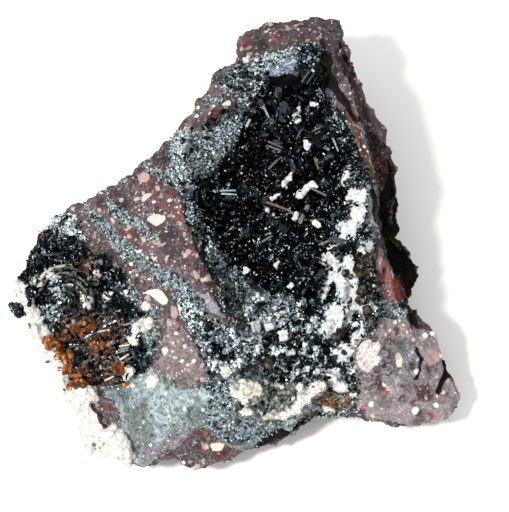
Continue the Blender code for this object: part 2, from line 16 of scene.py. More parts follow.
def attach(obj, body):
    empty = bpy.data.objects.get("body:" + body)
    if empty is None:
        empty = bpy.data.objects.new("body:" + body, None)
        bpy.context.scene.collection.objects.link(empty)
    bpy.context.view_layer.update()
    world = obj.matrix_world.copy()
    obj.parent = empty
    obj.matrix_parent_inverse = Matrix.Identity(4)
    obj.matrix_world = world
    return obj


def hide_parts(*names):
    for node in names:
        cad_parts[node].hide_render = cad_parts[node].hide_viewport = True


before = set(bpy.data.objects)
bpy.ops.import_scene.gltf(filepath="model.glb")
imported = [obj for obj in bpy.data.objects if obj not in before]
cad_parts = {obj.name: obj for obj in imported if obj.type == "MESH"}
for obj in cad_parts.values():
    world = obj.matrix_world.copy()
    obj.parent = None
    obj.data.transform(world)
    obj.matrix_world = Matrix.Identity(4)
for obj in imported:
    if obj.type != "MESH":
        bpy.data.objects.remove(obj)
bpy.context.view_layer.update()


# The studio: a camera that looks down on the specimen from the front at 66 degrees, a white
# table, one hard key light from the front left, and a pale room. Pixels named in this script
# are those of the 509 by 512 photograph, and are turned into lines of sight here.
MM = 0.001
PHOTO_CENTRE = np.array([254.5, 256.0])
PHOTO_HEIGHT = 512
PIXELS_PER_SLOPE = 2100.0
SENSOR = 36.0
CLIP_END = 10.0
VIEW_TARGET = np.array([3.06, -3.784, 12.0])
VIEW_DISTANCE = 350.0
VIEW_ELEVATION = math.radians(66.0)
TO_CAMERA = np.array([0.0, -math.cos(VIEW_ELEVATION), math.sin(VIEW_ELEVATION)])
VIEW_RIGHT = np.array([1.0, 0.0, 0.0])
VIEW_UP = np.cross(TO_CAMERA, VIEW_RIGHT)
CAMERA_PLACE = VIEW_TARGET + VIEW_DISTANCE * TO_CAMERA

KEY_AZIMUTH = math.radians(214.0)
KEY_ELEVATION = math.radians(56.0)
KEY_DISTANCE = 0.75
KEY_SIZE = 0.10
KEY_POWER = 5.5
KEY_COLOUR = (1.0, 0.985, 0.96)
ROOM_COLOUR = (0.96, 0.98, 1.0, 1.0)
ROOM_LIGHT = 1.0
ROOM_SHINE = 0.03
SOFTBOX_SHINE = 3.4
SOFTBOX_EDGE = (0.50, 0.90)
TABLE_HALF_SIDE = 2.0
TABLE_DROP = 0.02
TABLE_COLOUR = (0.925, 0.912, 0.885, 1.0)
TABLE_ROUGHNESS = 0.9


def pixels_of(points):
    """Where points in millimetres fall in the photograph: their offset from the camera along the
    view's right and up, over their depth, times the pixels per slope."""
    offset = points - CAMERA_PLACE
    depth = -(offset @ TO_CAMERA)
    across = PHOTO_CENTRE[0] + PIXELS_PER_SLOPE * (offset @ VIEW_RIGHT) / depth
    down = PHOTO_CENTRE[1] - PIXELS_PER_SLOPE * (offset @ VIEW_UP) / depth
    return np.stack([across, down], -1)


def line_of_sight(pixel):
    """The direction from the camera through a pixel."""
    across, up = pixel[0] - PHOTO_CENTRE[0], PHOTO_CENTRE[1] - pixel[1]
    way = -TO_CAMERA * PIXELS_PER_SLOPE + VIEW_RIGHT * across + VIEW_UP * up
    return Vector(way).normalized()


def add_node(tree, kind, inputs=None, **settings):
    """One node with its settings. Each input is a value or another node's output."""
    node = tree.nodes.new(kind)
    for name, value in settings.items():
        setattr(node, name, value)
    for name, value in (inputs or {}).items():
        if isinstance(value, bpy.types.NodeSocket):
            tree.links.new(value, node.inputs[name])
        else:
            node.inputs[name].default_value = value
    return node


def add_mix(tree, share, first, second, kind="RGBA"):
    """The output of one Mix node that goes from the first colour, number or vector to the
    second."""
    one, two, result = {"RGBA": (6, 7, 2), "FLOAT": (2, 3, 0), "VECTOR": (4, 5, 1)}[kind]
    inputs = {0: share, one: first, two: second}
    return add_node(tree, "ShaderNodeMix", inputs, data_type=kind).outputs[result]


def add_ramp(tree, value, start, end, low=0.0, high=1.0, curve="LINEAR"):
    """A number that goes from low to high as the value goes from start to end."""
    inputs = {"Value": value, "From Min": start, "From Max": end, "To Min": low, "To Max": high}
    return add_node(tree, "ShaderNodeMapRange", inputs, interpolation_type=curve).outputs["Result"]


def set_up_studio():
    """The camera, the key light, and a room whose light and whose reflections differ: only
    reflections see the soft box around the key."""
    scene = bpy.context.scene
    scene.view_settings.view_transform = "Standard"
    lens = bpy.data.cameras.new("photo_camera")
    lens.lens = PIXELS_PER_SLOPE / PHOTO_HEIGHT * SENSOR
    lens.sensor_width = SENSOR
    lens.clip_end = CLIP_END
    camera = bpy.data.objects.new("photo_camera", lens)
    turn = Matrix([VIEW_RIGHT, VIEW_UP, TO_CAMERA]).transposed().to_4x4()
    camera.matrix_world = Matrix.Translation(CAMERA_PLACE * MM) @ turn
    scene.collection.objects.link(camera)
    scene.camera = camera

    away = Vector((math.cos(KEY_AZIMUTH) * math.cos(KEY_ELEVATION),
                   math.sin(KEY_AZIMUTH) * math.cos(KEY_ELEVATION), math.sin(KEY_ELEVATION)))
    key = bpy.data.lights.new("key", "AREA")
    key.shape, key.size, key.energy, key.color = "DISK", KEY_SIZE, KEY_POWER, KEY_COLOUR
    lamp = bpy.data.objects.new("key", key)
    aim = away.to_track_quat("Z", "Y").to_matrix().to_4x4()
    lamp.matrix_world = Matrix.Translation(away * KEY_DISTANCE) @ aim
    scene.collection.objects.link(lamp)

    scene.world = bpy.data.worlds.new("pale room")
    scene.world.use_nodes = True
    tree = scene.world.node_tree
    direction = add_node(tree, "ShaderNodeTexCoord").outputs["Generated"]
    facing = add_node(tree, "ShaderNodeVectorMath", {0: direction, 1: tuple(away)},
                      operation="DOT_PRODUCT").outputs["Value"]
    softbox = add_ramp(tree, facing, *SOFTBOX_EDGE, ROOM_SHINE, SOFTBOX_SHINE, "SMOOTHSTEP")
    glossy = add_node(tree, "ShaderNodeLightPath").outputs["Is Glossy Ray"]
    background = tree.nodes["Background"]
    background.inputs["Color"].default_value = ROOM_COLOUR
    strength = add_mix(tree, glossy, ROOM_LIGHT, softbox, "FLOAT")
    tree.links.new(strength, background.inputs["Strength"])


def set_table():
    """A white table top at the level of the specimen's underside."""
    shape = bmesh.new()
    bmesh.ops.create_grid(shape, x_segments=1, y_segments=1, size=TABLE_HALF_SIDE)
    bmesh.ops.translate(shape, verts=shape.verts, vec=(0.0, 0.0, -TABLE_DROP * MM))
    mesh = bpy.data.meshes.new("table")
    shape.to_mesh(mesh)
    shape.free()
    white = bpy.data.materials.new("white table")
    white.use_nodes = True
    shader = white.node_tree.nodes["Principled BSDF"]
    shader.inputs["Base Color"].default_value = TABLE_COLOUR
    shader.inputs["Roughness"].default_value = TABLE_ROUGHNESS
    shader.inputs["Specular IOR Level"].default_value = 0.0
    mesh.materials.append(white)
    table = bpy.data.objects.new("table", mesh)
    bpy.context.scene.collection.objects.link(table)


set_up_studio()
set_table()


# The host rock: one lump of purple-brown volcanic rock, broken out by hand, craggy on its
# walls and grainy where it broke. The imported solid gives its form, and this skin adds the
# chips, grains and pits. Silver-teal hematite dust covers its veins and its front slope.
ROCK_NET = 0.40
ROCK_CHIPS = ((0.30, 3.0, 3), (0.22, 1.4, 4))
ROCK_SWELLS = ((0.20, 1.6, 5), (0.10, 0.6, 6))
ROCK_SETBACK = 0.36
COBBLE_SIZE, COBBLE_HEIGHT, COBBLE_SEED = 2.7, 0.75, 7
COBBLE_FALL = 2.4
LEAST_COBBLES = 0.35
BASE_START, BASE_BAND = 0.15, 0.7
SEEN_FROM = -0.05
CLAST_FADE_START, CLAST_FADE_BAND = 0.10, 0.15
CLAST_RISE, CLAST_CALM = 0.22, 0.7
DARK_SINK = 0.7
ZONE_EDGE = {"vein": 3.5, "dark": 3.0, "zones": 2.5, "clasts": 1.5, "wall_shade": 6.0, "frost": 6.0,
             "blue": 2.0}
PIT_START, PIT_GAIN = 0.15, 2.0
# On faces the camera doesn't see, the wall shade, the shadow and the vein marks are smooth noise,
# each with a middle, a spread, a size and a seed.
HIDDEN_DUSK = (0.45, 0.3, 9.0, 44)
HIDDEN_DARK = (0.25, 0.25, 7.0, 42)
HIDDEN_VEIN = (0.36, 0.30, 6.0, 41)
HIDDEN_VEIN_STRETCH = (1.0, 0.45, 1.3)
NUDGES = (
    ((243, 38), 14, (-1.2, 1.2, 0.0)), ((264, 28), 14, (0.0, 1.2, 0.2)),
    ((222, 74), 15, (-1.2, 1.0, 0.0)), ((150, 150), 42, (0.5, -0.65, 0.0)),
    ((90, 200), 30, (0.2, -0.4, 0.0)), ((334, 17), 14, (0.0, -0.8, 0.0)),
    ((243, 35), 10, (-1.1, 0.6, 0.0)), ((282, 22), 14, (0.0, 0.3, 0.0)),
    ((138, 463), 20, (0.0, -0.8, 0.0)), ((350, 38), 9, (-1.3, -0.3, 0.0)),
    ((356, 62), 14, (-0.5, 0.0, 0.0)), ((203, 97), 14, (-0.3, 0.0, 0.0)),
    ((402, 232), 10, (-1.0, 0.0, 0.0)), ((420, 270), 10, (0.6, 0.0, 0.0)),
    ((130, 178), 30, (0.35, -0.45, 0.0)), ((185, 467), 24, (0.0, -0.5, 0.0)),
    ((450, 366), 14, (0.5, 0.2, 0.0)), ((426, 320), 10, (-0.5, -0.3, 0.0)),
)


def shade(red, green, blue):
    """A screen colour from 0 to 255 a channel as linear values: each over 255, plus 0.055, over
    1.055, to the power 2.4."""
    return tuple(((level / 255.0 + 0.055) / 1.055) ** 2.4 for level in (red, green, blue))


def dots(*spots):
    """Small eight-sided outlines from a middle and a radius each."""
    turns = np.linspace(0.0, 2.0 * math.pi, 8, endpoint=False)
    return tuple(tuple((x + r * math.cos(t), y + r * math.sin(t)) for t in turns)
                 for x, y, r in spots)


HEMATITE_OUTLINE = (
    (222, 82), (232, 74), (240, 66), (250, 60), (262, 58), (285, 52), (300, 48), (314, 44),
    (326, 47), (325, 55), (320, 62), (316, 78), (324, 92), (333, 104), (341, 114), (350, 134),
    (355, 148), (364, 164), (370, 182), (366, 190), (368, 214), (376, 228), (376, 250), (374, 262),
    (376, 284), (377, 310), (374, 330), (364, 345), (357, 372), (356, 395), (346, 405), (330, 412),
    (305, 420), (280, 426), (262, 436), (252, 450), (226, 446), (212, 432), (200, 400), (206, 386),
    (210, 372), (205, 352), (192, 328), (184, 312), (196, 300), (212, 318), (224, 326), (232, 328),
    (246, 322), (249, 300), (240, 286), (228, 270), (214, 258), (206, 242), (196, 232), (190, 214),
    (186, 200), (176, 188), (166, 181), (165, 170), (170, 152), (170, 140), (178, 131), (190, 130),
    (198, 133), (208, 133), (212, 127), (222, 128), (232, 119), (240, 110), (239, 95), (224, 93),
)
VEIN_OUTLINES = (
    HEMATITE_OUTLINE,
    ((80, 206), (86, 203), (96, 211), (105, 220), (113, 228), (121, 237), (131, 244), (141, 252),
     (153, 262), (166, 270), (179, 274), (187, 282), (196, 292), (204, 302), (206, 316), (214, 322),
     (220, 335), (220, 362), (212, 370), (204, 358), (198, 346), (192, 330), (184, 316), (179, 304),
     (174, 292), (164, 286), (156, 280), (146, 270), (134, 264), (124, 262), (117, 250), (110, 243),
     (104, 234), (96, 226), (88, 217)),
    ((104, 196), (112, 196), (118, 204), (128, 212), (138, 217), (150, 228), (158, 238), (160, 246),
     (150, 240), (140, 232), (128, 224), (114, 218), (106, 210)),
    ((141, 166), (146, 163), (152, 166), (160, 171), (168, 177), (171, 183), (165, 181), (158, 176),
     (150, 172)),
    ((202, 98), (208, 96), (216, 96), (228, 97), (233, 98), (231, 101), (220, 102), (210, 103),
     (203, 103)),
    ((98, 384), (118, 384), (135, 372), (150, 366), (165, 378), (182, 390), (200, 388), (206, 384),
     (236, 392), (250, 412), (258, 434), (250, 454), (226, 446), (212, 430), (196, 428), (182, 440),
     (160, 446), (148, 462), (136, 462), (124, 436), (118, 410)),
    ((100, 262), (118, 268), (132, 282), (140, 296), (156, 312), (158, 345), (150, 366), (140, 350),
     (136, 320), (120, 292), (104, 276)),
    ((338, 398), (352, 395), (360, 404), (356, 414), (342, 414)),
    ((380, 305), (388, 302), (404, 302), (408, 314), (398, 320), (384, 316)),
)
ROCK_VEINS = VEIN_OUTLINES[1:]
# Painted shadow: outlines where the rock is painted near-black for the shade in its clefts, under
# its overhanging front edge, on walls turned from the key light, and beside its raised oval and
# lobe.
SHADOW_OUTLINES = (
    ((320, 40), (327, 46), (333, 50), (333, 64), (331, 73), (335, 80), (341, 89), (348, 97),
     (354, 103), (358, 112), (364, 122), (358, 120), (350, 114), (342, 109), (336, 102), (328, 92),
     (321, 85), (317, 78), (315, 70), (317, 62), (320, 54)),
    ((320, 38), (323, 37), (329, 48), (325, 49)),
    ((341, 42), (345, 42), (347, 54), (352, 64), (350, 68), (345, 58)),
    ((352, 138), (360, 150), (366, 162), (373, 176), (378, 190), (381, 206), (380, 224), (377, 218),
     (377, 200), (370, 184), (362, 168), (355, 152)),
    ((386, 156), (391, 170), (395, 190), (396, 198), (399, 212), (398, 228), (398, 246), (405, 251),
     (412, 258), (421, 270), (419, 284), (411, 298), (404, 296), (402, 284), (394, 270), (388, 256),
     (383, 242), (380, 228), (381, 206), (381, 190), (385, 176)),
    ((386, 266), (389, 269), (386, 284), (382, 292), (380, 310), (380, 326), (375, 328), (376, 306),
     (380, 290), (384, 278)),
    ((248, 454), (262, 440), (276, 430), (300, 424), (320, 416), (308, 424), (296, 431), (286, 439),
     (270, 448), (257, 455)),
    ((407, 299), (413, 304), (420, 316), (424, 328), (414, 324), (407, 314)),
    ((418, 345), (421, 349), (424, 357), (424, 368), (420, 379), (417, 379), (421, 368), (421, 358),
     (417, 349)),
    ((443, 350), (447, 356), (450, 371), (462, 384), (462, 388), (449, 377), (440, 398), (438, 392),
     (443, 376)),
    ((262, 80), (290, 78), (316, 78), (322, 90), (300, 96), (270, 94)),
    ((38, 245), (50, 243), (44, 258), (38, 270), (34, 284), (16, 286), (16, 270), (26, 256)),
)
NORTH_CLEFT_SHADOW = SHADOW_OUTLINES[:1]
RIM_SHADES = SHADOW_OUTLINES[:7]
SIDE_SHADE = SHADOW_OUTLINES[-1:]
# Painted highlight: flat hematite faces that catch the light, painted a pale blue-white.
BLUE_SHINE_OUTLINES = (
    ((267, 77), (272, 70), (283, 65), (293, 58), (298, 61), (293, 69), (296, 75), (281, 80)),
    ((303, 55), (311, 53), (312, 60), (306, 63)),
    ((35, 243), (41, 239), (47, 242), (45, 249), (37, 250)),
)
ROCK_ZONES = (
    # The right lobe, which faces the key light: its lighter colour is partly painted light.
    (shade(160, 146, 148), (
        ((383, 300), (408, 298), (414, 312), (424, 328), (434, 330), (446, 352), (450, 372),
         (466, 388), (466, 412), (448, 424), (420, 432), (396, 424), (376, 420), (345, 416),
         (350, 404), (356, 392), (357, 374), (364, 374), (378, 366), (386, 352), (380, 340),
         (370, 338), (378, 326)),
    )),
    (shade(132, 114, 118), (
        ((331, 48), (342, 44), (346, 54), (353, 66), (357, 78), (364, 87), (369, 97), (375, 108),
         (380, 118), (388, 122), (393, 130), (392, 142), (396, 156), (402, 172), (404, 185),
         (398, 193), (394, 188), (391, 168), (387, 154), (381, 142), (372, 134), (364, 122),
         (357, 112), (350, 99), (341, 91), (334, 84), (329, 76), (331, 64)),
    )),
    # The back knob, turned from the key light: its darker colour is partly painted shade.
    (shade(78, 66, 66), (
        ((226, 62), (230, 30), (250, 22), (270, 14), (290, 12), (346, 12), (350, 34), (347, 44),
         (328, 48), (320, 44), (300, 46), (284, 52), (262, 58), (240, 64)),
    )),
    (shade(104, 88, 90), (
        ((184, 130), (186, 112), (196, 100), (206, 90), (236, 80), (238, 104), (232, 114),
         (224, 126), (208, 130)),
        ((70, 200), (96, 190), (104, 196), (104, 210), (116, 222), (130, 232), (150, 242),
         (160, 252), (172, 262), (186, 272), (200, 290), (200, 300), (180, 276), (150, 262),
         (120, 244), (96, 214), (84, 204), (78, 212), (100, 236), (96, 246), (70, 222)),
    )),
    (shade(136, 121, 119), (
        ((172, 318), (182, 326), (190, 338), (197, 354), (203, 374), (190, 388), (164, 388),
         (157, 368), (160, 350), (163, 332)),
    )),
    (shade(158, 158, 160), (
        ((384, 350), (390, 342), (402, 341), (416, 348), (421, 360), (420, 376), (410, 387),
         (396, 389), (386, 380), (381, 366)),
        ((366, 184), (371, 188), (376, 198), (379, 214), (381, 228), (374, 224), (368, 214),
         (366, 198)),
        ((384, 300), (406, 300), (410, 314), (400, 322), (384, 320)),
        ((204, 298), (222, 294), (236, 298), (234, 312), (220, 316), (206, 310)),
    )),
    # Pale teal on the lower front frost: partly its own colour and partly painted highlight, the
    # soft glow of its blurred glints.
    (shade(190, 205, 206), (
        ((148, 394), (166, 386), (184, 392), (196, 402), (180, 412), (176, 424), (158, 424),
         (146, 410)),
        ((236, 398), (258, 418), (256, 430), (238, 424)),
        ((128, 398), (138, 392), (140, 408), (130, 412)),
    )),
    (shade(122, 132, 122), (
        ((124, 404), (142, 408), (152, 430), (150, 446), (138, 452), (128, 430)),
        ((188, 410), (206, 410), (212, 424), (196, 430)),
        ((170, 372), (178, 388), (166, 386), (152, 376)),
    )),
    (shade(146, 132, 138), (
        ((138, 446), (156, 440), (176, 436), (186, 426), (196, 430), (180, 446), (160, 452),
         (146, 462)),
    )),
    (shade(72, 56, 62), (
        ((144, 164), (150, 152), (166, 140), (171, 142), (170, 160), (164, 170), (152, 165)),
        ((157, 230), (166, 226), (176, 228), (184, 238), (183, 246), (176, 252), (172, 262),
         (164, 258), (160, 242)),
        ((92, 198), (98, 194), (104, 198), (100, 203), (95, 204)),
        ((331, 48), (342, 44), (346, 54), (350, 66), (346, 78), (338, 84), (332, 78), (331, 64)),
        ((300, 413), (320, 409), (345, 405), (366, 411), (366, 421), (340, 420), (318, 420),
         (304, 424)),
        ((378, 160), (386, 160), (392, 180), (388, 200), (382, 196), (384, 178)),
    )),
    (shade(112, 80, 80), (
        ((160, 200), (168, 195), (180, 197), (188, 208), (190, 219), (181, 225), (172, 216),
         (164, 209)),
    )),
    (shade(106, 66, 64), (
        ((113, 227), (126, 229), (138, 231), (141, 235), (132, 239), (124, 240), (118, 234)),
        ((132, 245), (140, 242), (143, 246), (137, 250), (132, 250)),
        ((147, 256), (156, 261), (162, 268), (161, 272), (152, 269), (147, 263)),
        ((126, 264), (131, 263), (131, 270), (126, 270)),
        ((178, 252), (190, 248), (200, 243), (207, 250), (202, 256), (192, 260), (182, 258)),
        ((202, 266), (207, 265), (207, 273), (202, 273)),
        ((186, 267), (192, 265), (193, 271), (187, 272)),
        ((148, 188), (153, 190), (152, 196), (146, 201), (140, 201), (145, 196)),
        ((162, 189), (168, 187), (171, 194), (166, 197), (161, 194)),
        ((210, 113), (218, 109), (226, 112), (234, 107), (237, 112), (230, 119), (226, 125),
         (218, 127), (213, 122), (208, 128), (206, 119)),
        ((145, 182), (150, 179), (151, 187), (145, 189)),
        ((130, 184), (137, 182), (139, 189), (132, 191)),
        ((345, 50), (351, 54), (354, 64), (351, 67), (346, 60)),
        ((416, 386), (430, 384), (434, 396), (430, 404), (419, 401)),
        ((358, 371), (366, 371), (370, 378), (362, 381)),
        ((228, 433), (241, 431), (242, 446), (230, 447)),
        ((240, 30), (252, 36), (256, 46), (246, 52), (238, 44)),
        ((268, 36), (280, 34), (284, 42), (272, 46)),
    )),
    (shade(86, 50, 46), (
        ((361, 140), (368, 140), (376, 153), (382, 160), (385, 170), (379, 188), (370, 172),
         (360, 150)),
    )),
    (shade(188, 106, 95), (
        ((375, 261), (381, 255), (386, 261), (388, 268), (385, 276), (383, 285), (379, 285),
         (375, 274)),
        ((388, 268), (393, 270), (398, 281), (403, 289), (407, 299), (398, 302), (390, 299),
         (387, 288), (386, 280)),
        ((378, 385), (382, 385), (391, 396), (388, 399), (381, 394)),
        *dots(
            (216, 286, 3.6), (244, 300, 3.8), (199, 251, 2.8), (210.5, 106.5, 2.8), (318, 37, 2.0),
            (350.5, 80, 2.6), (393, 361, 2.0), (433, 418, 3.2), (364, 408, 2.8), (206, 435, 2.6),
        ),
    )),
    (shade(98, 56, 32), (
        ((339, 103), (346, 105), (353, 112), (359, 118), (364, 126), (362, 136), (359, 144),
         (353, 141), (350, 128), (344, 118), (339, 110)),
    )),
)
ROCK_CLASTS = (
    (shade(186, 153, 147), (
        ((133, 174), (137, 167), (141, 167), (145, 170), (145, 175), (141, 178), (136, 178)),
        ((151, 182), (155, 181), (157, 185), (155, 189), (151, 186)),
        ((151, 241), (153, 239), (158, 242), (164, 244), (161, 246), (153, 244)),
        ((123, 228), (129, 226), (129, 229), (125, 231)),
        ((126, 234), (131, 235), (130, 238), (126, 238)),
        ((95, 206), (98, 203), (100, 208), (97, 211)),
        ((192, 271), (196, 270), (200, 274), (199, 279), (194, 279)),
        ((170, 306), (175, 306), (178, 313), (176, 319), (172, 318), (170, 312)),
        ((182, 231), (185, 231), (185, 237), (182, 236)),
        ((200, 127), (203, 123), (206, 124), (204, 129)),
        ((184, 124), (189, 123), (189, 127), (185, 127)),
        ((426, 352), (433, 348), (440, 353), (439, 362), (431, 365), (426, 360)),
        ((283, 24), (287, 26), (290, 29), (285, 28)),
    )),
    (shade(222, 204, 194), (
        ((144, 219), (149, 216), (152, 214), (163, 213), (165, 219), (161, 223), (155, 226),
         (150, 222)),
        ((138, 194), (141, 190), (147, 189), (148, 192), (144, 196), (140, 198)),
        ((130, 196), (134, 193), (137, 194), (134, 198)),
        ((204, 279), (207, 275), (211, 273), (213, 277), (216, 280), (204, 281)),
        ((161, 349), (166, 347), (168, 351), (164, 356), (161, 353)),
        ((134, 250), (142, 249), (141, 252), (136, 253)),
        *dots(
            (181, 361, 2.2), (193, 361, 2.8), (176, 333, 2.2), (184, 346, 2.2), (187, 365, 1.8),
            (172, 343, 1.8), (233, 284.5, 3.0), (415, 339, 2.2), (413, 352, 2.0), (387, 334, 2.2),
            (444, 392, 2.4), (257, 33, 2.0),
        ),
    )),
    (shade(250, 234, 210), (
        ((144, 293), (148, 290), (156, 289), (161, 291), (167, 299), (167, 303), (162, 305),
         (155, 300), (150, 295)),
        ((150, 256), (154, 257), (157, 261), (153, 261)),
        ((223, 104), (227, 101), (231, 100), (232, 103), (230, 106), (224, 106)),
        ((397, 353), (400, 352), (403, 359), (402, 367), (398, 367), (396, 360)),
        ((210, 444), (218, 443), (226, 445), (222, 451), (213, 451)),
        ((244, 60), (252, 57), (262, 59), (260, 65), (250, 68), (245, 65)),
    )),
    # Painted highlights: pale blue-white dots for the blurred glints on the lower front frost.
    (shade(222, 238, 238), dots(
        (133, 407, 1.7), (165, 394, 2.0), (181, 398, 1.8), (184, 409, 2.2), (200, 393, 1.8),
        (203, 410, 2.2), (150, 444, 1.7), (230, 425, 1.7), (272, 427, 2.2), (168, 416, 1.5),
        (143, 422, 1.5), (212, 398, 1.8),
    )),
    (shade(192, 182, 190), (
        ((233, 314), (240, 312), (244, 319), (244, 326), (239, 330), (233, 326)),
    )),
    (shade(206, 190, 134), (((405, 279), (411, 276), (418, 276), (415, 282), (408, 283)),)),
    # White specks of mineral; the two on the glossy red ridge are painted highlights for its
    # glints.
    (shade(238, 230, 228), dots(
        (168, 199, 2.6), (152, 199.5, 2.4), (177.5, 199.5, 1.5), (175, 206, 1.3), (180, 206, 1.3),
        (170, 210, 1.2), (178, 212, 1.4), (173, 216, 1.3), (198, 106, 2.0), (214, 105, 2.0),
        (204, 131.5, 2.0), (196, 114, 1.5), (210, 113, 2.0), (131, 264, 2.2), (130, 272, 1.6),
        (137, 275, 1.8), (148, 279, 1.6), (244, 295, 2.0), (337, 84, 1.8), (340.5, 91.5, 1.8),
        (352, 92, 1.5), (350, 98, 1.5), (426.5, 335, 3.2), (434.5, 333, 2.6), (441, 356, 2.4),
        (418, 371, 2.8), (371, 405, 2.8), (416, 412, 4.2), (437, 406, 3.2), (439, 396, 2.0),
        (384, 386, 2.0), (395, 311, 1.8), (399, 315, 1.6), (389, 306, 1.5), (404, 312, 1.6),
        (396, 322, 2.2), (366, 146, 2.2), (369, 151, 1.8), (404, 325, 1.8), (391, 330, 1.6),
        (408, 332, 1.8), (184, 461, 2.2), (228, 372, 1.0),
    )),
)
# Painted shade: the right outer wall, turned from the key light, is painted darker.
SHADED_WALL_OUTLINES = (
    ((380, 122), (396, 120), (430, 250), (425, 330), (404, 300), (396, 268), (388, 240), (384, 190),
     (388, 170)),
)
FROST_OUTLINES = (
    ((98, 384), (118, 384), (135, 372), (150, 366), (165, 378), (182, 390), (200, 388), (210, 396),
     (226, 402), (240, 416), (262, 424), (300, 422), (330, 408), (350, 400), (362, 404), (352, 416),
     (330, 418), (300, 432), (262, 446), (250, 456), (226, 450), (212, 432), (196, 428), (182, 440),
     (160, 446), (148, 462), (136, 462), (124, 436), (118, 410)),
    ((170, 130), (196, 128), (200, 134), (190, 142), (172, 144)),
    ((236, 64), (262, 57), (285, 51), (300, 48), (300, 56), (284, 61), (264, 68), (262, 92),
     (250, 104), (239, 96)),
)
LOWER_FROST = FROST_OUTLINES[:1]


def scramble(lattice, seed):
    """A repeatable number from 0 to 1 for each row of three whole numbers: the three and the
    seed times large odd numbers, summed, cut to 32 bits, and mixed twice by a shift and a
    product."""
    mixed = lattice @ np.array([374761393, 668265263, 2147483629]) + seed * 1274126177
    for factor in (1274126177, 2246822519):
        mixed = mixed & 0xFFFFFFFF
        mixed = (mixed ^ (mixed >> 13)) * factor
    return ((mixed >> 8) & 0xFFFFFF) / 0xFFFFFF


def swells(points, size, seed):
    """Smooth noise from -1 to 1: random values on a lattice of this size, blended between its
    eight nearest corners with soft steps."""
    place = points / size
    corner = np.floor(place).astype(np.int64)
    t = place - corner
    t = t * t * (3.0 - 2.0 * t)
    total = np.zeros(len(points))
    for step in np.ndindex(2, 2, 2):
        share = np.prod(np.where(step, t, 1.0 - t), axis=1)
        total += share * scramble(corner + np.array(step), seed)
    return 2.0 * total - 1.0


def chips(points, size, seed):
    """Flat tilted facets from about -1 to 1: each point takes the nearest of the jittered middles
    around it, and its height is its offset from that middle along the middle's own random slope.
    The second result is a round cobble over each middle, from 1 there down to its creases."""
    place = points / size
    corner = np.floor(place).astype(np.int64)
    nearest = np.full(len(points), np.inf)
    height = np.zeros(len(points))
    for step in np.ndindex(3, 3, 3):
        lattice = corner + np.array(step) - 1
        jitter = np.stack([scramble(lattice, seed + k) for k in (11, 23, 37)], -1)
        slope = np.stack([scramble(lattice, seed + k) for k in (51, 67, 83)], -1) - 0.5
        offset = place - lattice - jitter
        away = (offset ** 2).sum(axis=1)
        closer = away < nearest
        nearest = np.where(closer, away, nearest)
        height = np.where(closer, 2.0 * (offset * slope).sum(axis=1), height)
    return height, 1.0 - COBBLE_FALL * nearest


def drift(points, middle, spread, size, seed):
    """Smooth noise about a middle, for the marks of faces that the photograph hides."""
    return middle + spread * swells(points, size, seed)


def nudge(points, pixels):
    """Moves the rock's outline a little where the solid's is smoother than the real one: each
    nudge fades with the distance in pixels from its middle, as a bell curve."""
    moved = points.copy()
    for middle, reach, shift in NUDGES:
        away = np.hypot(pixels[:, 0] - middle[0], pixels[:, 1] - middle[1])
        moved += np.exp(-(away / reach) ** 2)[:, None] * np.array(shift)
    return moved


def inset(pixels, outline, reach=20.0):
    """How many pixels a point lies inside a closed outline, and negative outside, down to minus
    the reach: the distance to the nearest side, with a sign from counting the sides that cross
    the point's row to its right."""
    near = np.all((pixels > np.min(outline, axis=0) - reach)
                  & (pixels < np.max(outline, axis=0) + reach), axis=1)
    x, y = pixels[near].T
    nearest = np.full(len(x), reach)
    crossed = np.zeros(len(x), int)
    for (ax, ay), (bx, by) in zip(outline, outline[1:] + outline[:1]):
        dx, dy = bx - ax, by - ay
        t = np.clip(((x - ax) * dx + (y - ay) * dy) / (dx * dx + dy * dy + 1e-9), 0.0, 1.0)
        nearest = np.minimum(nearest, np.hypot(x - ax - t * dx, y - ay - t * dy))
        spans = (ay > y) != (by > y)
        crossed += spans & (x < ax + (y - ay) * dx / (dy if dy else 1e-9))
    depth = np.full(len(pixels), -reach)
    depth[near] = np.where(crossed % 2 == 1, nearest, -nearest)
    return depth


def zone(pixels, outlines, softness):
    """1 well inside any of the outlines, 0 well outside, and 0.5 on their lines."""
    deepest = np.max([inset(pixels, outline) for outline in outlines], axis=0)
    return np.clip(0.5 + deepest / (2.0 * softness), 0.0, 1.0)


def paint(pixels, patches, softness):
    """A colour and a strength for each point from groups of outlines with a colour each. The
    strength is 1 well inside an outline and 0 well outside all, and the later colour holds where
    outlines overlap."""
    deepest = np.full(len(pixels), -np.inf)
    colours = np.zeros((len(pixels), 3))
    for colour, outlines in patches:
        for outline in outlines:
            depth = inset(pixels, outline)
            colours[(depth > 0.0) | (depth > deepest)] = colour
            deepest = np.maximum(deepest, depth)
    strength = np.clip(0.5 + deepest / (2.0 * softness), 0.0, 1.0)
    return np.concatenate([colours, strength[:, None]], axis=1)


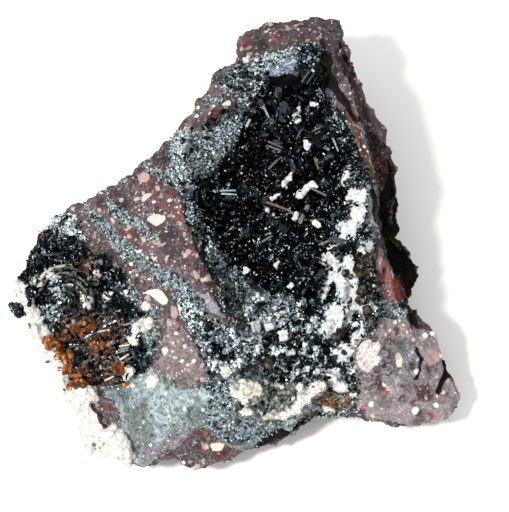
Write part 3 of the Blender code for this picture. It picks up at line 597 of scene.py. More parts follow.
def fine_net(meshes, size):
    """The points and normals in millimetres, and the four-cornered faces, of one even closed net
    over all these solids, made by Blender's voxel remesh."""
    shape = bmesh.new()
    for mesh in meshes:
        shape.from_mesh(mesh)
    bmesh.ops.remove_doubles(shape, verts=shape.verts, dist=1e-6)
    joined = bpy.data.meshes.new("joined")
    shape.to_mesh(joined)
    shape.free()
    source = bpy.data.objects.new("joined", joined)
    bpy.context.scene.collection.objects.link(source)
    net = source.modifiers.new("net", "REMESH")
    net.mode = "VOXEL"
    net.voxel_size = size * MM
    graph = bpy.context.evaluated_depsgraph_get()
    mesh = bpy.data.meshes.new_from_object(source.evaluated_get(graph))
    bpy.data.objects.remove(source)
    bpy.data.meshes.remove(joined)
    points = np.empty(len(mesh.vertices) * 3, np.float32)
    mesh.vertices.foreach_get("co", points)
    normals = np.empty_like(points)
    mesh.vertex_normals.foreach_get("vector", normals)
    faces = np.empty(len(mesh.loops), np.int32)
    mesh.loops.foreach_get("vertex_index", faces)
    bpy.data.meshes.remove(mesh)
    return points.reshape(-1, 3) / MM, normals.reshape(-1, 3).astype(float), faces.reshape(-1, 4)


def new_piece(name, points, face_groups, material, smooth=True, marks=None, uvs=None):
    """Writes arrays as one object on the root body: points in millimetres, groups of faces that
    each have the same number of corners, marks as one number or one colour with alpha a point,
    and uvs as one pair a corner."""
    mesh = bpy.data.meshes.new(name)
    mesh.vertices.add(len(points))
    mesh.vertices.foreach_set("co", (points * MM).ravel().astype(np.float32))
    corners = np.concatenate([faces.ravel() for faces in face_groups]).astype(np.int32)
    counts = np.concatenate([np.full(len(faces), faces.shape[1]) for faces in face_groups])
    mesh.loops.add(len(corners))
    mesh.loops.foreach_set("vertex_index", corners)
    mesh.polygons.add(len(counts))
    mesh.polygons.foreach_set("loop_start", (np.cumsum(counts) - counts).astype(np.int32))
    mesh.polygons.foreach_set("use_smooth", np.full(len(counts), smooth))
    mesh.update(calc_edges=True)
    for mark, values in (marks or {}).items():
        kind, field = ("FLOAT_COLOR", "color") if np.ndim(values) == 2 else ("FLOAT", "value")
        layer = mesh.attributes.new(mark, kind, "POINT")
        layer.data.foreach_set(field, np.asarray(values, np.float32).ravel())
    if uvs is not None:
        layer = mesh.uv_layers.new(name="plate")
        layer.data.foreach_set("uv", uvs.ravel().astype(np.float32))
    mesh.materials.append(material)
    piece = bpy.data.objects.new(name, mesh)
    bpy.context.scene.collection.objects.link(piece)
    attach(piece, "root")
    return piece


def add_math(tree, operation, first, second=0.0, clamp=False):
    """The output of one Math node."""
    inputs = {0: first, 1: second}
    return add_node(tree, "ShaderNodeMath", inputs, operation=operation, use_clamp=clamp).outputs[0]


def add_product(tree, first, second):
    """One number times another."""
    return add_math(tree, "MULTIPLY", first, second)


def add_vectors(tree, operation, first, second=(0.0, 0.0, 0.0)):
    """The vector that one Vector Math node makes of two."""
    inputs = {0: first, 1: second}
    return add_node(tree, "ShaderNodeVectorMath", inputs, operation=operation).outputs["Vector"]


def add_scaled(tree, colour, amount):
    """A colour or a vector times a number."""
    inputs = {0: colour, "Scale": amount}
    return add_node(tree, "ShaderNodeVectorMath", inputs, operation="SCALE").outputs["Vector"]


def add_group(tree, group, inputs):
    """The outputs of a node group placed in a material with its own values."""
    return add_node(tree, "ShaderNodeGroup", inputs, node_tree=group).outputs


def tone(red, green, blue):
    """A linear colour with full alpha."""
    return (red, green, blue, 1.0)


def new_group(name, inputs, outputs):
    """A shader node group with sockets of these names, and the sockets to use inside it. Place
    and Normal are vectors, and the others are numbers."""
    group = bpy.data.node_groups.new(name, "ShaderNodeTree")
    for way, sockets in (("INPUT", inputs), ("OUTPUT", outputs)):
        for socket in sockets:
            kind = "NodeSocketVector" if socket in ("Place", "Normal") else "NodeSocketFloat"
            group.interface.new_socket(name=socket, in_out=way, socket_type=kind)
    given = group.nodes.new("NodeGroupInput").outputs
    return group, given, group.nodes.new("NodeGroupOutput").inputs


def make_millimetres():
    """Group: the object's own coordinates in millimetres."""
    group, _, out = new_group("millimetres", (), ("Place",))
    place = add_node(group, "ShaderNodeTexCoord").outputs["Object"]
    group.links.new(add_scaled(group, place, 1.0 / MM), out["Place"])
    return group


def make_broken_edge():
    """Group: turns a mark that fades over a few pixels into one with a crisp ragged edge."""
    group, given, out = new_group("broken edge", ("Mark", "Place", "Size", "Raggedness"), ("Mark",))
    noise = add_node(group, "ShaderNodeTexNoise", {
        "Vector": given["Place"], "Scale": add_math(group, "DIVIDE", 1.0, given["Size"]),
        "Detail": 4.0, "Roughness": 0.65}).outputs["Fac"]
    stray = add_product(group, add_math(group, "SUBTRACT", noise, 0.5), given["Raggedness"])
    moved = add_math(group, "ADD", given["Mark"], stray)
    group.links.new(add_ramp(group, moved, 0.42, 0.58, curve="SMOOTHSTEP"), out["Mark"])
    return group


def make_crystal_grains():
    """Group: crystal grains as cells, each with two random values and a facing of its own, and
    the distance to the cell's edge."""
    group, given, out = new_group("crystal grains", ("Place", "Size", "Tilt"),
                                  ("Value", "Second", "Edge", "Normal"))
    scale = add_math(group, "DIVIDE", 1.0, given["Size"])
    inputs = {"Vector": given["Place"], "Scale": scale}
    cells = add_node(group, "ShaderNodeTexVoronoi", inputs).outputs["Color"]
    edge = add_node(group, "ShaderNodeTexVoronoi", inputs, feature="DISTANCE_TO_EDGE")
    parts = add_node(group, "ShaderNodeSeparateColor", {"Color": cells}).outputs
    stray = add_vectors(group, "SUBTRACT", cells, (0.5, 0.5, 0.5))
    facing = add_node(group, "ShaderNodeNewGeometry").outputs["Normal"]
    leaned = add_vectors(group, "ADD", facing, add_scaled(group, stray, given["Tilt"]))
    group.links.new(parts["Red"], out["Value"])
    group.links.new(parts["Green"], out["Second"])
    group.links.new(edge.outputs["Distance"], out["Edge"])
    group.links.new(add_vectors(group, "NORMALIZE", leaned), out["Normal"])
    return group


def make_angular_clasts():
    """Group: angular mineral grains, which are whole Voronoi cells with their edges roughened."""
    group, given, out = new_group("angular clasts", ("Place", "Size", "Share"), ("Mark", "Value"))
    scale = add_math(group, "DIVIDE", 1.0, given["Size"])
    noise = add_node(group, "ShaderNodeTexNoise", {
        "Vector": given["Place"], "Scale": add_product(group, scale, 3.0), "Detail": 2.0})
    stray = add_scaled(group, noise.outputs["Color"], add_product(group, given["Size"], 0.45))
    moved = add_vectors(group, "ADD", given["Place"], stray)
    cells = add_node(group, "ShaderNodeTexVoronoi", {"Vector": moved, "Scale": scale})
    parts = add_node(group, "ShaderNodeSeparateColor", {"Color": cells.outputs["Color"]}).outputs
    group.links.new(add_math(group, "LESS_THAN", parts["Red"], given["Share"]), out["Mark"])
    group.links.new(parts["Blue"], out["Value"])
    return group


millimetres = make_millimetres()
broken_edge = make_broken_edge()
crystal_grains = make_crystal_grains()
angular_clasts = make_angular_clasts()


def new_material(name):
    """A material, its tree, its Principled shader and its coordinates in millimetres."""
    material = bpy.data.materials.new(name)
    material.use_nodes = True
    tree = material.node_tree
    return material, tree, tree.nodes["Principled BSDF"], add_group(tree, millimetres, {})["Place"]


def add_mark(tree, name, output="Fac"):
    """A number kept at the points of the mesh, or another output of it."""
    return add_node(tree, "ShaderNodeAttribute", attribute_name=name).outputs[output]


def add_ragged(tree, mark, place, size, raggedness):
    """A mark with its edge broken up in steps of this size: the name of one kept at the points
    of the mesh, or a number from another node."""
    if isinstance(mark, str):
        mark = add_mark(tree, mark)
    inputs = {"Mark": mark, "Place": place, "Size": size, "Raggedness": raggedness}
    return add_group(tree, broken_edge, inputs)["Mark"]


def add_noise(tree, place, size, detail=4.0, roughness=0.6):
    """Noise from 0 to 1 with swells of this size in millimetres."""
    inputs = {"Vector": place, "Scale": 1.0 / size, "Detail": detail, "Roughness": roughness}
    return add_node(tree, "ShaderNodeTexNoise", inputs).outputs["Fac"]


def set_shader(tree, shader, colour, roughness, metallic, height, distance, normal=None):
    """Feeds a Principled shader. Heights are in millimetres, and lie over the given normal."""
    inputs = {"Height": height, "Distance": distance * MM, "Strength": 1.0}
    if normal is not None:
        inputs["Normal"] = normal
    bumped = add_node(tree, "ShaderNodeBump", inputs).outputs["Normal"]
    for socket, value in (("Base Color", colour), ("Roughness", roughness),
                          ("Metallic", metallic), ("Normal", bumped)):
        if isinstance(value, bpy.types.NodeSocket):
            tree.links.new(value, shader.inputs[socket])
        else:
            shader.inputs[socket].default_value = value


def add_silver(tree, place, size):
    """Colour, normal and grain edges of fine silver-teal hematite grains with dark pits."""
    grains = add_group(tree, crystal_grains, {"Place": place, "Size": size, "Tilt": 1.5})
    bright = add_ramp(tree, grains["Value"], 0.38, 0.92)
    patch = add_ramp(tree, add_noise(tree, place, 3.0), 0.34, 0.60)
    patch = add_ramp(tree, patch, 0.0, 1.0, 0.40, 1.15)
    lit = add_math(tree, "MULTIPLY", bright, patch, clamp=True)
    colour = add_mix(tree, lit, tone(0.020, 0.028, 0.032), tone(0.52, 0.64, 0.66))
    warm = add_math(tree, "GREATER_THAN", grains["Second"], 0.9)
    colour = add_mix(tree, warm, colour, tone(0.34, 0.30, 0.24))
    return colour, grains["Normal"], grains["Edge"]


# Each kind of small grain in the rock: its size, its share, and its dull and bright colours
ROCK_GRAINS = (
    (0.34, 0.042, tone(0.30, 0.25, 0.25), tone(0.78, 0.72, 0.70)),
    (0.75, 0.040, tone(0.30, 0.20, 0.18), tone(0.70, 0.58, 0.52)),
    (1.00, 0.030, tone(0.10, 0.020, 0.015), tone(0.25, 0.06, 0.045)),
)


def make_rock_material():
    """Purple rock with painted zones and small grains, then its silver veins and frost, the painted
    blue-white highlight of its flat faces, its large clasts and the painted shadow of its clefts
    and undercuts, each over the last. Painted shade also darkens its wall turned from the light and
    the lows of its relief."""
    material, tree, shader, place = new_material("purple rock")
    fine = add_noise(tree, place, 0.42, 6.0, 0.75)
    middling = add_noise(tree, place, 1.6, 4.0, 0.6)
    broad = add_noise(tree, place, 5.0, 3.0, 0.55)
    grainy = add_ramp(tree, fine, 0.41, 0.61)
    purple = add_mix(tree, grainy, tone(0.030, 0.023, 0.026), tone(0.20, 0.16, 0.17))
    ruddy = add_mix(tree, grainy, tone(0.040, 0.018, 0.017), tone(0.20, 0.10, 0.095))
    rock = add_mix(tree, add_ramp(tree, middling, 0.52, 0.58), purple, ruddy)
    rock = add_mix(tree, add_ramp(tree, broad, 0.42, 0.34), rock, tone(0.050, 0.034, 0.037))

    zoned = add_ragged(tree, add_mark(tree, "zones", "Alpha"), place, 1.2, 0.9)
    stirred = add_product(tree, add_ramp(tree, fine, 0.34, 0.66, 0.38, 1.36),
                          add_ramp(tree, middling, 0.36, 0.60, 1.15, 0.75))
    painted = add_scaled(tree, add_mark(tree, "zones", "Color"), stirred)
    # Painted shade: the wall turned from the key light is darkened to 0.42 of its colour, with
    # fewer grains and less dust.
    wall_shade = add_ramp(tree, add_mark(tree, "wall_shade"), 0.0, 1.0, 1.0, 0.42)
    rock = add_mix(tree, add_product(tree, zoned, 0.95), rock, painted)
    rock = add_scaled(tree, rock, wall_shade)
    for size, share, dull, bright in ROCK_GRAINS:
        grain = add_group(tree, angular_clasts, {"Place": place, "Size": size, "Share": share})
        shown = add_product(tree, grain["Mark"], add_product(tree, wall_shade, 0.85))
        rock = add_mix(tree, shown, rock, add_mix(tree, grain["Value"], dull, bright))
    # Painted shade: darker in the low places of the relief.
    recess_shaded = add_product(tree, add_mark(tree, "recess_shade"), 0.8)
    rock = add_mix(tree, recess_shaded, rock, tone(0.016, 0.010, 0.010))

    frost = add_mix(tree, add_ramp(tree, middling, 0.35, 0.65),
                    tone(0.17, 0.21, 0.22), tone(0.54, 0.62, 0.63))
    cloudy = add_ramp(tree, add_noise(tree, place, 4.5), 0.36, 0.64, 0.5, 1.4)
    frost = add_scaled(tree, frost, cloudy)
    frost = add_mix(tree, add_product(tree, zoned, 0.8), frost, painted)
    frosted = add_product(tree, add_ragged(tree, "frost", place, 1.4, 1.2), 0.85)
    silver, sparkle, _ = add_silver(tree, place, 0.42)
    silver = add_mix(tree, frosted, silver, frost)
    dust = add_group(tree, angular_clasts, {
        "Place": place, "Size": 0.30, "Share": add_ramp(tree, middling, 0.42, 0.58, 0.34, 0.02)})
    dusty = add_product(tree, wall_shade, add_ramp(tree, zoned, 0.0, 1.0, 0.7, 0.3))
    vein = add_math(tree, "MAXIMUM", add_ragged(tree, "vein", place, 1.1, 1.1),
                    add_product(tree, dust["Mark"], dusty))
    colour = add_mix(tree, vein, rock, silver)

    # Painted highlight: the pale blue-white shine of flat faces that catch the light.
    blue = add_ragged(tree, "blue", place, 0.8, 0.5)
    colour = add_mix(tree, blue, colour, tone(0.50, 0.60, 0.75))
    clast = add_ramp(tree, add_mark(tree, "clasts", "Alpha"), 0.44, 0.56)
    mottled = add_ramp(tree, fine, 0.3, 0.65, 0.75, 1.1)
    mottled = add_scaled(tree, add_mark(tree, "clasts", "Color"), mottled)
    colour = add_mix(tree, clast, colour, mottled)
    # Painted shadow: near-black over the rock where it lies in shade, in its clefts, under its
    # overhanging edges and on walls turned from the light.
    dark = add_ragged(tree, "dark", place, 1.2, 0.6)
    black = add_mix(tree, add_ramp(tree, middling, 0.52, 0.62),
                    tone(0.002, 0.0015, 0.0015), tone(0.010, 0.004, 0.003))
    colour = add_mix(tree, dark, colour, black)

    covered = add_math(tree, "SUBTRACT", 1.0, add_math(tree, "MAXIMUM", clast, dark))
    vein = add_product(tree, vein, covered)
    roughness = add_mix(tree, vein, 0.58, 0.30, "FLOAT")
    metallic = add_product(tree, vein, add_ramp(tree, frosted, 0.0, 0.85, 0.6, 0.2))
    plain = add_node(tree, "ShaderNodeNewGeometry").outputs["Normal"]
    facing = add_mix(tree, vein, plain, sparkle, "VECTOR")
    height = add_math(tree, "ADD", fine, add_product(tree, middling, 0.8))
    height = add_product(tree, height, add_ramp(tree, zoned, 0.0, 1.0, 1.0, 0.65))
    set_shader(tree, shader, colour, roughness, metallic, height, 0.36, facing)
    shader.inputs["Specular IOR Level"].default_value = 0.2
    return material


def dress_host_rock():
    """The rock's solid as a fine net, moved along its normals by chips and swells of set heights.
    Its underside stays flat. Each point keeps how far it lies in each coloured zone."""
    points, normals, faces = fine_net([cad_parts["host_rock"].data], ROCK_NET)
    relief = sum(height * chips(points, size, seed)[0] for height, size, seed in ROCK_CHIPS)
    relief = relief + sum(height * swells(points, size, seed) for height, size, seed in ROCK_SWELLS)
    above = np.clip((points[:, 2] - BASE_START) / BASE_BAND, 0.0, 1.0)
    pixels = pixels_of(points)
    seen = normals @ TO_CAMERA > SEEN_FROM
    # Marks of painted shade: the wall turned from the light, which also gets the full cobble
    # relief, and the clefts and undercuts, which also sink a little.
    wall_shade = np.where(seen, zone(pixels, SHADED_WALL_OUTLINES, ZONE_EDGE["wall_shade"]),
                     drift(points, *HIDDEN_DUSK))
    dark = np.where(seen, zone(pixels, SHADOW_OUTLINES, ZONE_EDGE["dark"]),
                    drift(points, *HIDDEN_DARK))
    cobbles = chips(points, COBBLE_SIZE, COBBLE_SEED)[1]
    cobbled = LEAST_COBBLES + (1.0 - LEAST_COBBLES) * wall_shade
    relief = relief + COBBLE_HEIGHT * cobbled * (cobbles - 0.5)
    clasts = paint(pixels, ROCK_CLASTS, ZONE_EDGE["clasts"])
    clasts[:, 3] *= np.clip((normals @ TO_CAMERA - CLAST_FADE_START) / CLAST_FADE_BAND, 0.0, 1.0)
    proud = clasts[:, 3]
    zones = paint(pixels, ROCK_ZONES, ZONE_EDGE["zones"])
    zones[~seen, 3] = 0.0
    relief = relief * (1.0 - CLAST_CALM * proud) + CLAST_RISE * proud - ROCK_SETBACK
    relief = relief - DARK_SINK * np.where(seen, dark, 0.0) ** 2
    points = nudge(points + normals * (relief * above)[:, None], pixels)
    points[:, 2] = np.maximum(points[:, 2], 0.0)
    hidden_vein = drift(points * HIDDEN_VEIN_STRETCH, *HIDDEN_VEIN)
    marks = {
        "vein": np.where(seen, zone(pixels, VEIN_OUTLINES, ZONE_EDGE["vein"]), hidden_vein),
        "dark": dark,
        "zones": zones,
        "clasts": clasts,
        "wall_shade": wall_shade,
        "frost": np.where(seen, zone(pixels, FROST_OUTLINES, ZONE_EDGE["frost"]), 0.0),
        # the painted blue-white highlight of flat faces
        "blue": np.where(seen, zone(pixels, BLUE_SHINE_OUTLINES, ZONE_EDGE["blue"]), 0.0),
        # painted shade in the low places of the relief
        "recess_shade": np.clip(-(relief + ROCK_SETBACK) * PIT_GAIN - PIT_START, 0.0, 1.0) * above,
    }
    rock = new_piece("host_rock_skin", points, [faces], make_rock_material(),
                     marks=marks)
    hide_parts("host_rock")
    return points, faces


rock_arrays = dress_host_rock()


# The linings of the two hollows: crusts of black hematite, silver-teal with fine crystals on
# the vug's upper left slope and along its rim, and domed in the side hollow. They are the
# ground on which the blades and plates of the next sections stand.
CRUST_NET = 0.36
CRUST_RELIEF = 0.22
CRUST_CHIPS, CRUST_SWELLS = (1.1, 71), (0.6, 72)
CRUST_SWELL_SHARE = 0.5
SILVER_EDGE, CLEFT_EDGE = 7.0, 2.0
CAP_POWER, CAP_RINGS = 0.7, 40.0
VUG_KNOLL = ((300, 275), 19, 1.3)
DOME_CENTRE = (66, 299)
SIDE_CAP = (DOME_CENTRE, (37, 35), 1.8, 0.2)
VUG_SILVER_OUTLINES = (
    ((223, 80), (240, 70), (262, 62), (300, 52), (322, 60), (318, 80), (290, 78), (262, 84),
     (250, 98), (242, 120), (236, 146), (224, 158), (217, 170), (208, 180), (198, 188), (194, 205),
     (200, 225), (208, 245), (222, 262), (244, 272), (262, 282), (275, 300), (300, 318), (318, 330),
     (330, 350), (336, 366), (318, 392), (300, 410), (268, 420), (240, 412), (226, 384), (214, 350),
     (206, 322), (196, 300), (190, 262), (180, 232), (168, 182), (164, 160), (170, 138), (190, 126),
     (208, 128), (226, 112)),
    ((316, 84), (324, 92), (340, 112), (354, 136), (364, 156), (372, 180), (368, 190), (356, 172),
     (344, 150), (330, 122), (316, 102)),
    ((362, 188), (372, 190), (378, 230), (384, 262), (376, 300), (372, 340), (358, 350), (352, 330),
     (362, 290), (362, 250), (366, 215)),
)


def make_hematite_ground():
    """Black hematite with fine silver grains, and a painted blue-white highlight, where the mesh is
    marked.
    """
    material, tree, shader, place = new_material("hematite ground")
    silver, sparkle, edge = add_silver(tree, place, 0.38)
    spread = add_ragged(tree, "silver", place, 1.6, 1.5)
    colour = add_mix(tree, spread, tone(0.006, 0.007, 0.008), silver)
    # Painted highlight: pale blue-white where flat faces catch the light.
    blue = add_ragged(tree, "blue", place, 0.8, 0.7)
    colour = add_mix(tree, blue, colour, tone(0.52, 0.62, 0.76))
    roughness = add_mix(tree, spread, 0.22, 0.27, "FLOAT")
    set_shader(tree, shader, colour, roughness, 0.85, edge, 0.25, sparkle)
    return material


hematite_ground = make_hematite_ground()


def cap(pixels, middle, reach, height, rings=0.0):
    """The height of a round cap over a middle: the height times one minus the square of the share
    of the reach, to a power, with low rings around it as a sine of that share times a number."""
    away = np.hypot(*((pixels - middle) / reach).T)
    rounded = np.clip(1.0 - away ** 2, 0.0, 1.0) ** CAP_POWER
    return rounded * (height + rings * np.sin(CAP_RINGS * away))


def dress_crust(node, name, raised):
    """A crystal crust's solid as a fine net with small chips, raised in a round cap towards the
    camera, and its marks for colour."""
    points, normals, faces = fine_net([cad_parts[node].data], CRUST_NET)
    rough = chips(points, *CRUST_CHIPS)[0] + CRUST_SWELL_SHARE * swells(points, *CRUST_SWELLS)
    points = points + normals * (CRUST_RELIEF * rough)[:, None]
    pixels = pixels_of(points)
    rise = cap(pixels, *raised) * (normals @ TO_CAMERA > 0.0)
    points = points + TO_CAMERA * rise[:, None]
    silver = zone(pixels, VUG_SILVER_OUTLINES, SILVER_EDGE)
    # The crust stays black in the cleft's painted shadow, and is painted blue-white where flat
    # faces catch the light.
    silver = silver * (1.0 - zone(pixels, NORTH_CLEFT_SHADOW, CLEFT_EDGE))
    marks = {"silver": silver, "blue": zone(pixels, BLUE_SHINE_OUTLINES, ZONE_EDGE["blue"])}
    crust = new_piece(name, points, [faces], hematite_ground, marks=marks)
    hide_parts(node)
    return points, faces


vug_arrays = dress_crust("vug_crystal_crust", "vug_crust_ground", VUG_KNOLL)
side_arrays = dress_crust("side_crystal_crust", "side_crust_ground", SIDE_CAP)


# Hematite blades and plates: thin six-sided metal-black crystals that stand on the crust at
# all angles. The largest line the vug, small ones fill between them, and the finest make the
# glitter of the silver zones. Near-white flakes among the finest are painted glints.
CLEAR_OF_GROUND = 0.3
FACING_LEAST = 0.05
BEVEL_ALONG, BEVEL_ACROSS = 0.25, 0.30
GRAIN_STRETCH = (0.7, 1.25)
FLAKE_THICKNESS = (0.07, 0.14)
GROWTH_SEED_STEP = 100
SPARKS_START, SPARKS_BAND, SPARKS_RANGE = 90.0, 110.0, (0.2, 1.4)
FROST_THINNING, STRAY_VEIN = 0.75, 0.02


class Ground:
    """A surface that crystals grow on, as triangles in millimetres."""

    def __init__(self, *parts):
        corners = []
        for points, faces in parts:
            if faces.shape[1] == 4:
                faces = np.concatenate([faces[:, :3], faces[:, [0, 2, 3]]])
            corners.append(points[faces])
        self.corners = np.concatenate(corners)
        self.middles = self.corners.mean(axis=1)
        first, second, third = np.moveaxis(self.corners, 1, 0)
        across = np.cross(second - first, third - first)
        size = np.linalg.norm(across, axis=1)
        self.areas = size / 2.0
        self.normals = across / np.maximum(size, 1e-12)[:, None]
        self.pixels = pixels_of(self.middles)
        self.up = (self.normals @ TO_CAMERA > FACING_LEAST).astype(float)
        index = np.arange(3 * len(self.corners)).reshape(-1, 3)
        self.tree = BVHTree.FromPolygons(self.corners.reshape(-1, 3), index.tolist())

    def inside(self, outlines, softness):
        """How far each face that looks towards the camera lies inside these outlines."""
        return zone(self.pixels, outlines, softness) * self.up

    def scatter(self, weights, count, seed):
        """Random places on the faces and the normals there, chosen by area times weight."""
        picker = np.random.default_rng(seed)
        share = self.areas * weights
        chosen = picker.choice(len(share), count, p=share / share.sum())
        u, v = picker.random((2, count))
        u, v = np.where(u + v > 1.0, (1.0 - u, 1.0 - v), (u, v))
        a, b, c = np.moveaxis(self.corners[chosen], 1, 0)
        return a + (b - a) * u[:, None] + (c - a) * v[:, None], self.normals[chosen]

    def hides(self, places):
        """Which of these places lie under this surface, as seen from the camera."""
        way = Vector(TO_CAMERA)
        return np.array([self.tree.ray_cast(Vector(place), way)[0] is not None
                         for place in places + CLEAR_OF_GROUND * TO_CAMERA])

    def under(self, pixel):
        """The first point that a pixel's line of sight meets, and the normal there."""
        place, normal, _, _ = self.tree.ray_cast(Vector(CAMERA_PLACE), line_of_sight(pixel))
        if place is None:
            return None, None
        return np.array(place), np.array(normal)


def unit(vectors):
    """Vectors, one a row, each with a length of 1."""
    return vectors / np.maximum(np.linalg.norm(vectors, axis=1), 1e-9)[:, None]


def plate_arrays(roots, axes, sides, lengths, widths, thicknesses, sunk):
    """Six-sided plates as arrays: a hexagon stretched along each plate's axis and across its side,
    given a thickness, and set so that a share of its length is sunk below its root."""
    faces_to = np.cross(axes, sides)
    bevel = np.minimum(BEVEL_ALONG * lengths, BEVEL_ACROSS * widths)
    half, wide = lengths / 2.0, widths / 2.0
    along = np.stack([half, half - bevel, bevel - half, -half, bevel - half, half - bevel], 1)
    zero = np.zeros_like(wide)
    across = np.stack([zero, wide, wide, zero, -wide, -wide], 1)
    middle = roots + axes * (lengths * (0.5 - sunk))[:, None]
    flat = middle[:, None] + along[..., None] * axes[:, None] + across[..., None] * sides[:, None]
    lift = (thicknesses / 2.0)[:, None, None] * faces_to[:, None]
    points = np.concatenate([flat + lift, flat - lift], axis=1).reshape(-1, 3)
    first = 12 * np.arange(len(roots))[:, None]
    ring = np.arange(6)
    after = (ring + 1) % 6
    top, bottom = first + ring, first + 6 + ring[::-1]
    walls = np.stack([ring, ring + 6, after + 6, after], 1)
    walls = (first[:, :, None] + walls[None]).reshape(-1, 4)
    spots = np.stack([along / lengths[:, None] + 0.5, across / widths[:, None] + 0.5], -1)
    wall_spots = spots[:, np.stack([ring, ring, after, after], 1)].reshape(-1, 2)
    uvs = np.concatenate([spots.reshape(-1, 2), spots[:, ::-1].reshape(-1, 2), wall_spots])
    return points, [top, bottom, walls], uvs


def flake_arrays(roots, axes, sides, lengths, widths, thicknesses, sunk):
    """Small flat double pyramids as arrays: six points at half a length, a width and a thickness
    each way from a middle that is raised along the axis, and eight faces between them."""
    middle = roots + axes * (lengths * (0.5 - sunk))[:, None]
    along, across, up = (ways * (sizes / 2.0)[:, None] for ways, sizes in (
        (axes, lengths), (sides, widths), (np.cross(axes, sides), thicknesses)))
    points = np.stack([middle + along, middle - along, middle + across, middle - across,
                       middle + up, middle - up], 1)
    corners = np.array([(0, 2, 4), (2, 1, 4), (1, 3, 4), (3, 0, 4),
                        (2, 0, 5), (1, 2, 5), (3, 1, 5), (0, 3, 5)])
    faces = 6 * np.arange(len(roots))[:, None, None] + corners
    return points.reshape(-1, 3), [faces.reshape(-1, 3)], None


def grow_plates(name, material, slot, places, normals, seed, length, aspect, thickness, lean,
                sunk=0.3, shape=plate_arrays):
    """Plates that stand at the given places. length, aspect, thickness and lean are each a low
    and a high bound, and lean is the angle in degrees between a plate's axis and the ground's
    normal."""
    picker = np.random.default_rng(seed)
    count = len(places)
    lengths = picker.uniform(*length, count)
    widths = lengths / picker.uniform(*aspect, count)
    thicknesses = picker.uniform(*thickness, count)
    angle = np.radians(picker.uniform(*lean, count))[:, None]
    sideways = unit(np.cross(normals, unit(picker.normal(size=(count, 3)))))
    axes = normals * np.cos(angle) + sideways * np.sin(angle)
    sides = unit(np.cross(axes, unit(picker.normal(size=(count, 3)))))
    points, faces, uvs = shape(places, axes, sides, lengths, widths, thicknesses, sunk)
    tint = np.repeat(picker.random(count), len(points) // count)
    new_piece(name, points, faces, material, smooth=False, marks={"tint": tint}, uvs=uvs)


def flake(length, sunk=0.1, aspect=(1.0, 1.8), lean=(5, 75)):
    """The last values of a row for the smallest crystals, which only glitter."""
    return length, aspect, FLAKE_THICKNESS, lean, sunk, flake_arrays


def grow_rows(*rows):
    """One piece a row: its name, its material, its bed, which is a slot and a way to pick places,
    the weights of the bed's faces, a count and a seed, and then the sizes of its plates. The slot
    is not used."""
    for name, material, (slot, pick), weights, count, seed, *sizes in rows:
        places, normals = pick(weights, count, seed)
        grow_plates(name, minerals[material], slot, places, normals,
                    seed + GROWTH_SEED_STEP, *sizes)


def ball_arrays(subdivisions):
    """The points and the triangles of one round ball with a radius of 1."""
    shape = bmesh.new()
    bmesh.ops.create_icosphere(shape, subdivisions=subdivisions, radius=1.0)
    ball = np.array([vertex.co for vertex in shape.verts])
    sides = np.array([[vertex.index for vertex in face.verts] for face in shape.faces])
    shape.free()
    return ball, sides


def grow_grains(name, material, places, normals, seed, radius, rise):
    """Rounded grains: balls of twelve points, each stretched and turned its own way by two random
    directions, and raised along the ground's normal by a share of its size."""
    picker = np.random.default_rng(seed)
    count = len(places)
    ball, sides = ball_arrays(1)
    first = unit(picker.normal(size=(count, 3)))
    second = unit(np.cross(first, unit(picker.normal(size=(count, 3)))))
    frames = np.stack([first, second, np.cross(first, second)], 1)
    sizes = picker.uniform(*radius, count)[:, None, None]
    sizes = sizes * picker.uniform(*GRAIN_STRETCH, (count, 3, 1))
    points = ball @ (frames * sizes) + (places + normals * rise * sizes.mean(axis=1))[:, None]
    faces = len(ball) * np.arange(count)[:, None, None] + sides
    tint = np.repeat(picker.random(count), len(ball))
    new_piece(name, points.reshape(-1, 3), [faces.reshape(-1, 3)], minerals[material],
              smooth=False, marks={"tint": tint})


def add_lines(tree, stretch, scale, detail, place=(0.0, 0.0, 0.0)):
    """Noise in fine lines along a plate, from its own coordinates moved by a place."""
    spot = add_node(tree, "ShaderNodeUVMap", uv_map="plate").outputs["UV"]
    spot = add_node(tree, "ShaderNodeMapping", {"Vector": spot, "Scale": stretch}).outputs["Vector"]
    spot = add_vectors(tree, "ADD", spot, place)
    inputs = {"Vector": spot, "Scale": scale, "Detail": detail}
    return add_node(tree, "ShaderNodeTexNoise", inputs).outputs["Fac"]


def make_blade_material(name, dull, bright, gold_share, roughness, metallic):
    """Striated crystal: each plate takes its own tone from its tint, a few are golden, and fine
    lines run along it."""
    material, tree, shader, place = new_material(name)
    dull = tone(*dull)
    tint = add_mark(tree, "tint")
    colour = add_mix(tree, add_ramp(tree, tint, 0.15, 0.95), dull, tone(*bright))
    gold = add_math(tree, "GREATER_THAN", tint, 1.0 - gold_share)
    colour = add_mix(tree, gold, colour, tone(0.23, 0.15, 0.055))
    streak = add_lines(tree, (0.6, 9.0, 1.0), 1.6, 3.0, place)
    colour = add_mix(tree, add_ramp(tree, streak, 0.35, 0.75, 0.0, 0.55), colour, dull)
    rough = add_ramp(tree, streak, 0.3, 0.7, roughness * 0.7, roughness * 1.5)
    set_shader(tree, shader, colour, rough, metallic, streak, 0.05)
    return material


